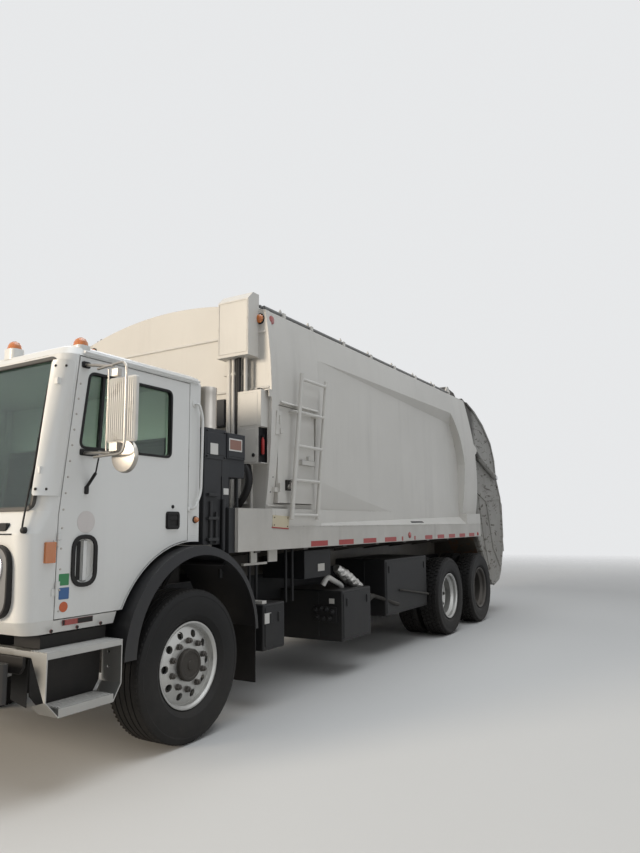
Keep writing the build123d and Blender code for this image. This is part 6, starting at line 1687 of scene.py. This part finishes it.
CAMERA_AT = (4.527, -3.783, 1.514)
CAMERA_PITCH, CAMERA_ROLL, CAMERA_YAW = 8.37, -0.63, 30.75
CAMERA_LENS = 28.13  # in millimetres
CAMERA_REACH = 200
FLOOR_HALF = 60
FLOOR_FADE = (9.0, 26.0)  # the floor thins out into the background between these distances
LAMPS = (
    # name, setting, place, aim, width, colour
    ("key_lamp", "key", (-7.0, -16.0, 6.0), (0.3, 0.0, 1.9), 6.0, (1.0, 0.87, 0.70)),
    ("sky_lamp", "sky", (3.0, 1.0, 15.0), (1.0, 2.0, 1.0), 14.0, (0.90, 0.95, 1.0)),
    ("fill_lamp", "fill", (16.0, -1.0, 6.0), (0.0, 2.5, 1.6), 12.0, (0.93, 0.97, 1.0)),
    ("back_lamp", "fill", (-13.0, 14.0, 8.0), (0.0, 3.0, 1.6), 11.0, (1.0, 1.0, 1.0)),
)


def floor_material(chosen):
    material, tree, shader = new_material("stage_floor")
    place = own_space(tree)["Object"]
    patch, fine = (noise(tree, place, scale, detail, Roughness=0.6)
                   for scale, detail in ((0.5, 6.0), (40.0, 5.0)))
    away = add(tree, "ShaderNodeVectorMath", {0: place}, operation="LENGTH").outputs["Value"]
    fill(tree, shader, {"Base Color": tint(tree, patch, scaled(chosen.floor[:], 0.96), chosen.floor[:]),
                        "Roughness": between(tree, fine, 0.75, 0.9),
                        "Alpha": spread(tree, away, FLOOR_FADE[1], FLOOR_FADE[0])})
    raise_surface(tree, shader, fine, 0.002, 0.3)
    return material


class GARBAGE_TRUCK_OT_stage(Operator):
    """Lays the floor, hangs the lamps and sets the camera at the photograph's angle"""
    bl_idname = "garbage_truck.stage"
    bl_label = "Stage"

    def execute(self, context):
        chosen = settings().stage
        scene = context.scene
        self.make_floor(chosen)
        self.make_world(chosen)
        for name, power, place, aim, width, tone in LAMPS:
            lamp = bpy.data.lights.new(name, "AREA")
            lamp.shape = "DISK"
            lamp.size = width
            lamp.energy = getattr(chosen, power)
            lamp.color = tone
            holder = bpy.data.objects.new(name, lamp)
            scene.collection.objects.link(holder)
            holder.location = from_axle(place)
            holder.rotation_euler = (from_axle(aim) - from_axle(place)).to_track_quat("-Z", "Y").to_euler()
        camera = bpy.data.objects.new("photo_camera", bpy.data.cameras.new("photo_camera"))
        scene.collection.objects.link(camera)
        camera.data.lens = CAMERA_LENS
        camera.data.clip_end = CAMERA_REACH
        turn = (Matrix.Rotation(radians(CAMERA_YAW), 4, "Z")
                @ Matrix.Rotation(radians(90 + CAMERA_PITCH), 4, "X")
                @ Matrix.Rotation(radians(CAMERA_ROLL), 4, "Z"))
        camera.matrix_world = Matrix.Translation(from_axle(CAMERA_AT)) @ turn
        scene.camera = camera
        scene.view_settings.view_transform = "Standard"
        return {"FINISHED"}

    def make_floor(self, chosen):
        mesh = bpy.data.meshes.new("stage_floor")
        half = FLOOR_HALF
        mesh.from_pydata([(-half, -half, 0), (half, -half, 0), (half, half, 0), (-half, half, 0)], [],
                         [(0, 1, 2, 3)])
        mesh.materials.append(floor_material(chosen))
        floor = bpy.data.objects.new("stage_floor", mesh)
        bpy.context.scene.collection.objects.link(floor)

    def make_world(self, chosen):
        """Plain light from all round; the camera, metal and glass see the pale background."""
        world = bpy.data.worlds.new("studio")
        bpy.context.scene.world = world
        world.use_nodes = True
        tree = world.node_tree
        tree.nodes.clear()
        light = add(tree, "ShaderNodeBackground", {"Color": (0.92, 0.95, 1.0, 1), "Strength": chosen.ambient})
        seen = add(tree, "ShaderNodeBackground", {"Color": (*chosen.background[:], 1), "Strength": 1.0})
        path = add(tree, "ShaderNodeLightPath").outputs
        pale = calculate(tree, "MAXIMUM", path["Is Camera Ray"],
                         calculate(tree, "MAXIMUM", path["Is Glossy Ray"], path["Is Transmission Ray"]))
        mixed = add(tree, "ShaderNodeMixShader", {0: pale, 1: light.outputs[0], 2: seen.outputs[0]})
        output = tree.nodes.new("ShaderNodeOutputWorld")
        tree.links.new(mixed.outputs[0], output.inputs["Surface"])


OPERATORS = (GARBAGE_TRUCK_OT_stage, GARBAGE_TRUCK_OT_finishes, GARBAGE_TRUCK_OT_tyres,
             GARBAGE_TRUCK_OT_wheels, GARBAGE_TRUCK_OT_cab, GARBAGE_TRUCK_OT_mirrors, GARBAGE_TRUCK_OT_seats,
             GARBAGE_TRUCK_OT_chassis, GARBAGE_TRUCK_OT_body, GARBAGE_TRUCK_OT_tailgate)


class GARBAGE_TRUCK_PT_panel(Panel):
    """Lists the steps that dress the truck"""
    bl_idname = "GARBAGE_TRUCK_PT_panel"
    bl_label = "Garbage truck"
    bl_space_type = "VIEW_3D"
    bl_region_type = "UI"
    bl_category = "Garbage truck"

    def draw(self, context):
        for operator in OPERATORS:
            self.layout.operator(operator.bl_idname)


CLASSES = (GarbageTruckColours, GarbageTruckWear, GarbageTruckSizes, GarbageTruckStage, GarbageTruckSettings,
           *OPERATORS, GARBAGE_TRUCK_PT_panel)


def register():
    for item in CLASSES:
        bpy.utils.register_class(item)
    bpy.types.Scene.garbage_truck = PointerProperty(type=GarbageTruckSettings)


def unregister():
    del bpy.types.Scene.garbage_truck
    for item in reversed(CLASSES):
        bpy.utils.unregister_class(item)


def main():
    register()
    for operator in OPERATORS:
        group, name = operator.bl_idname.split(".")
        getattr(getattr(bpy.ops, group), name)()


if __name__ == "__main__":
    main()
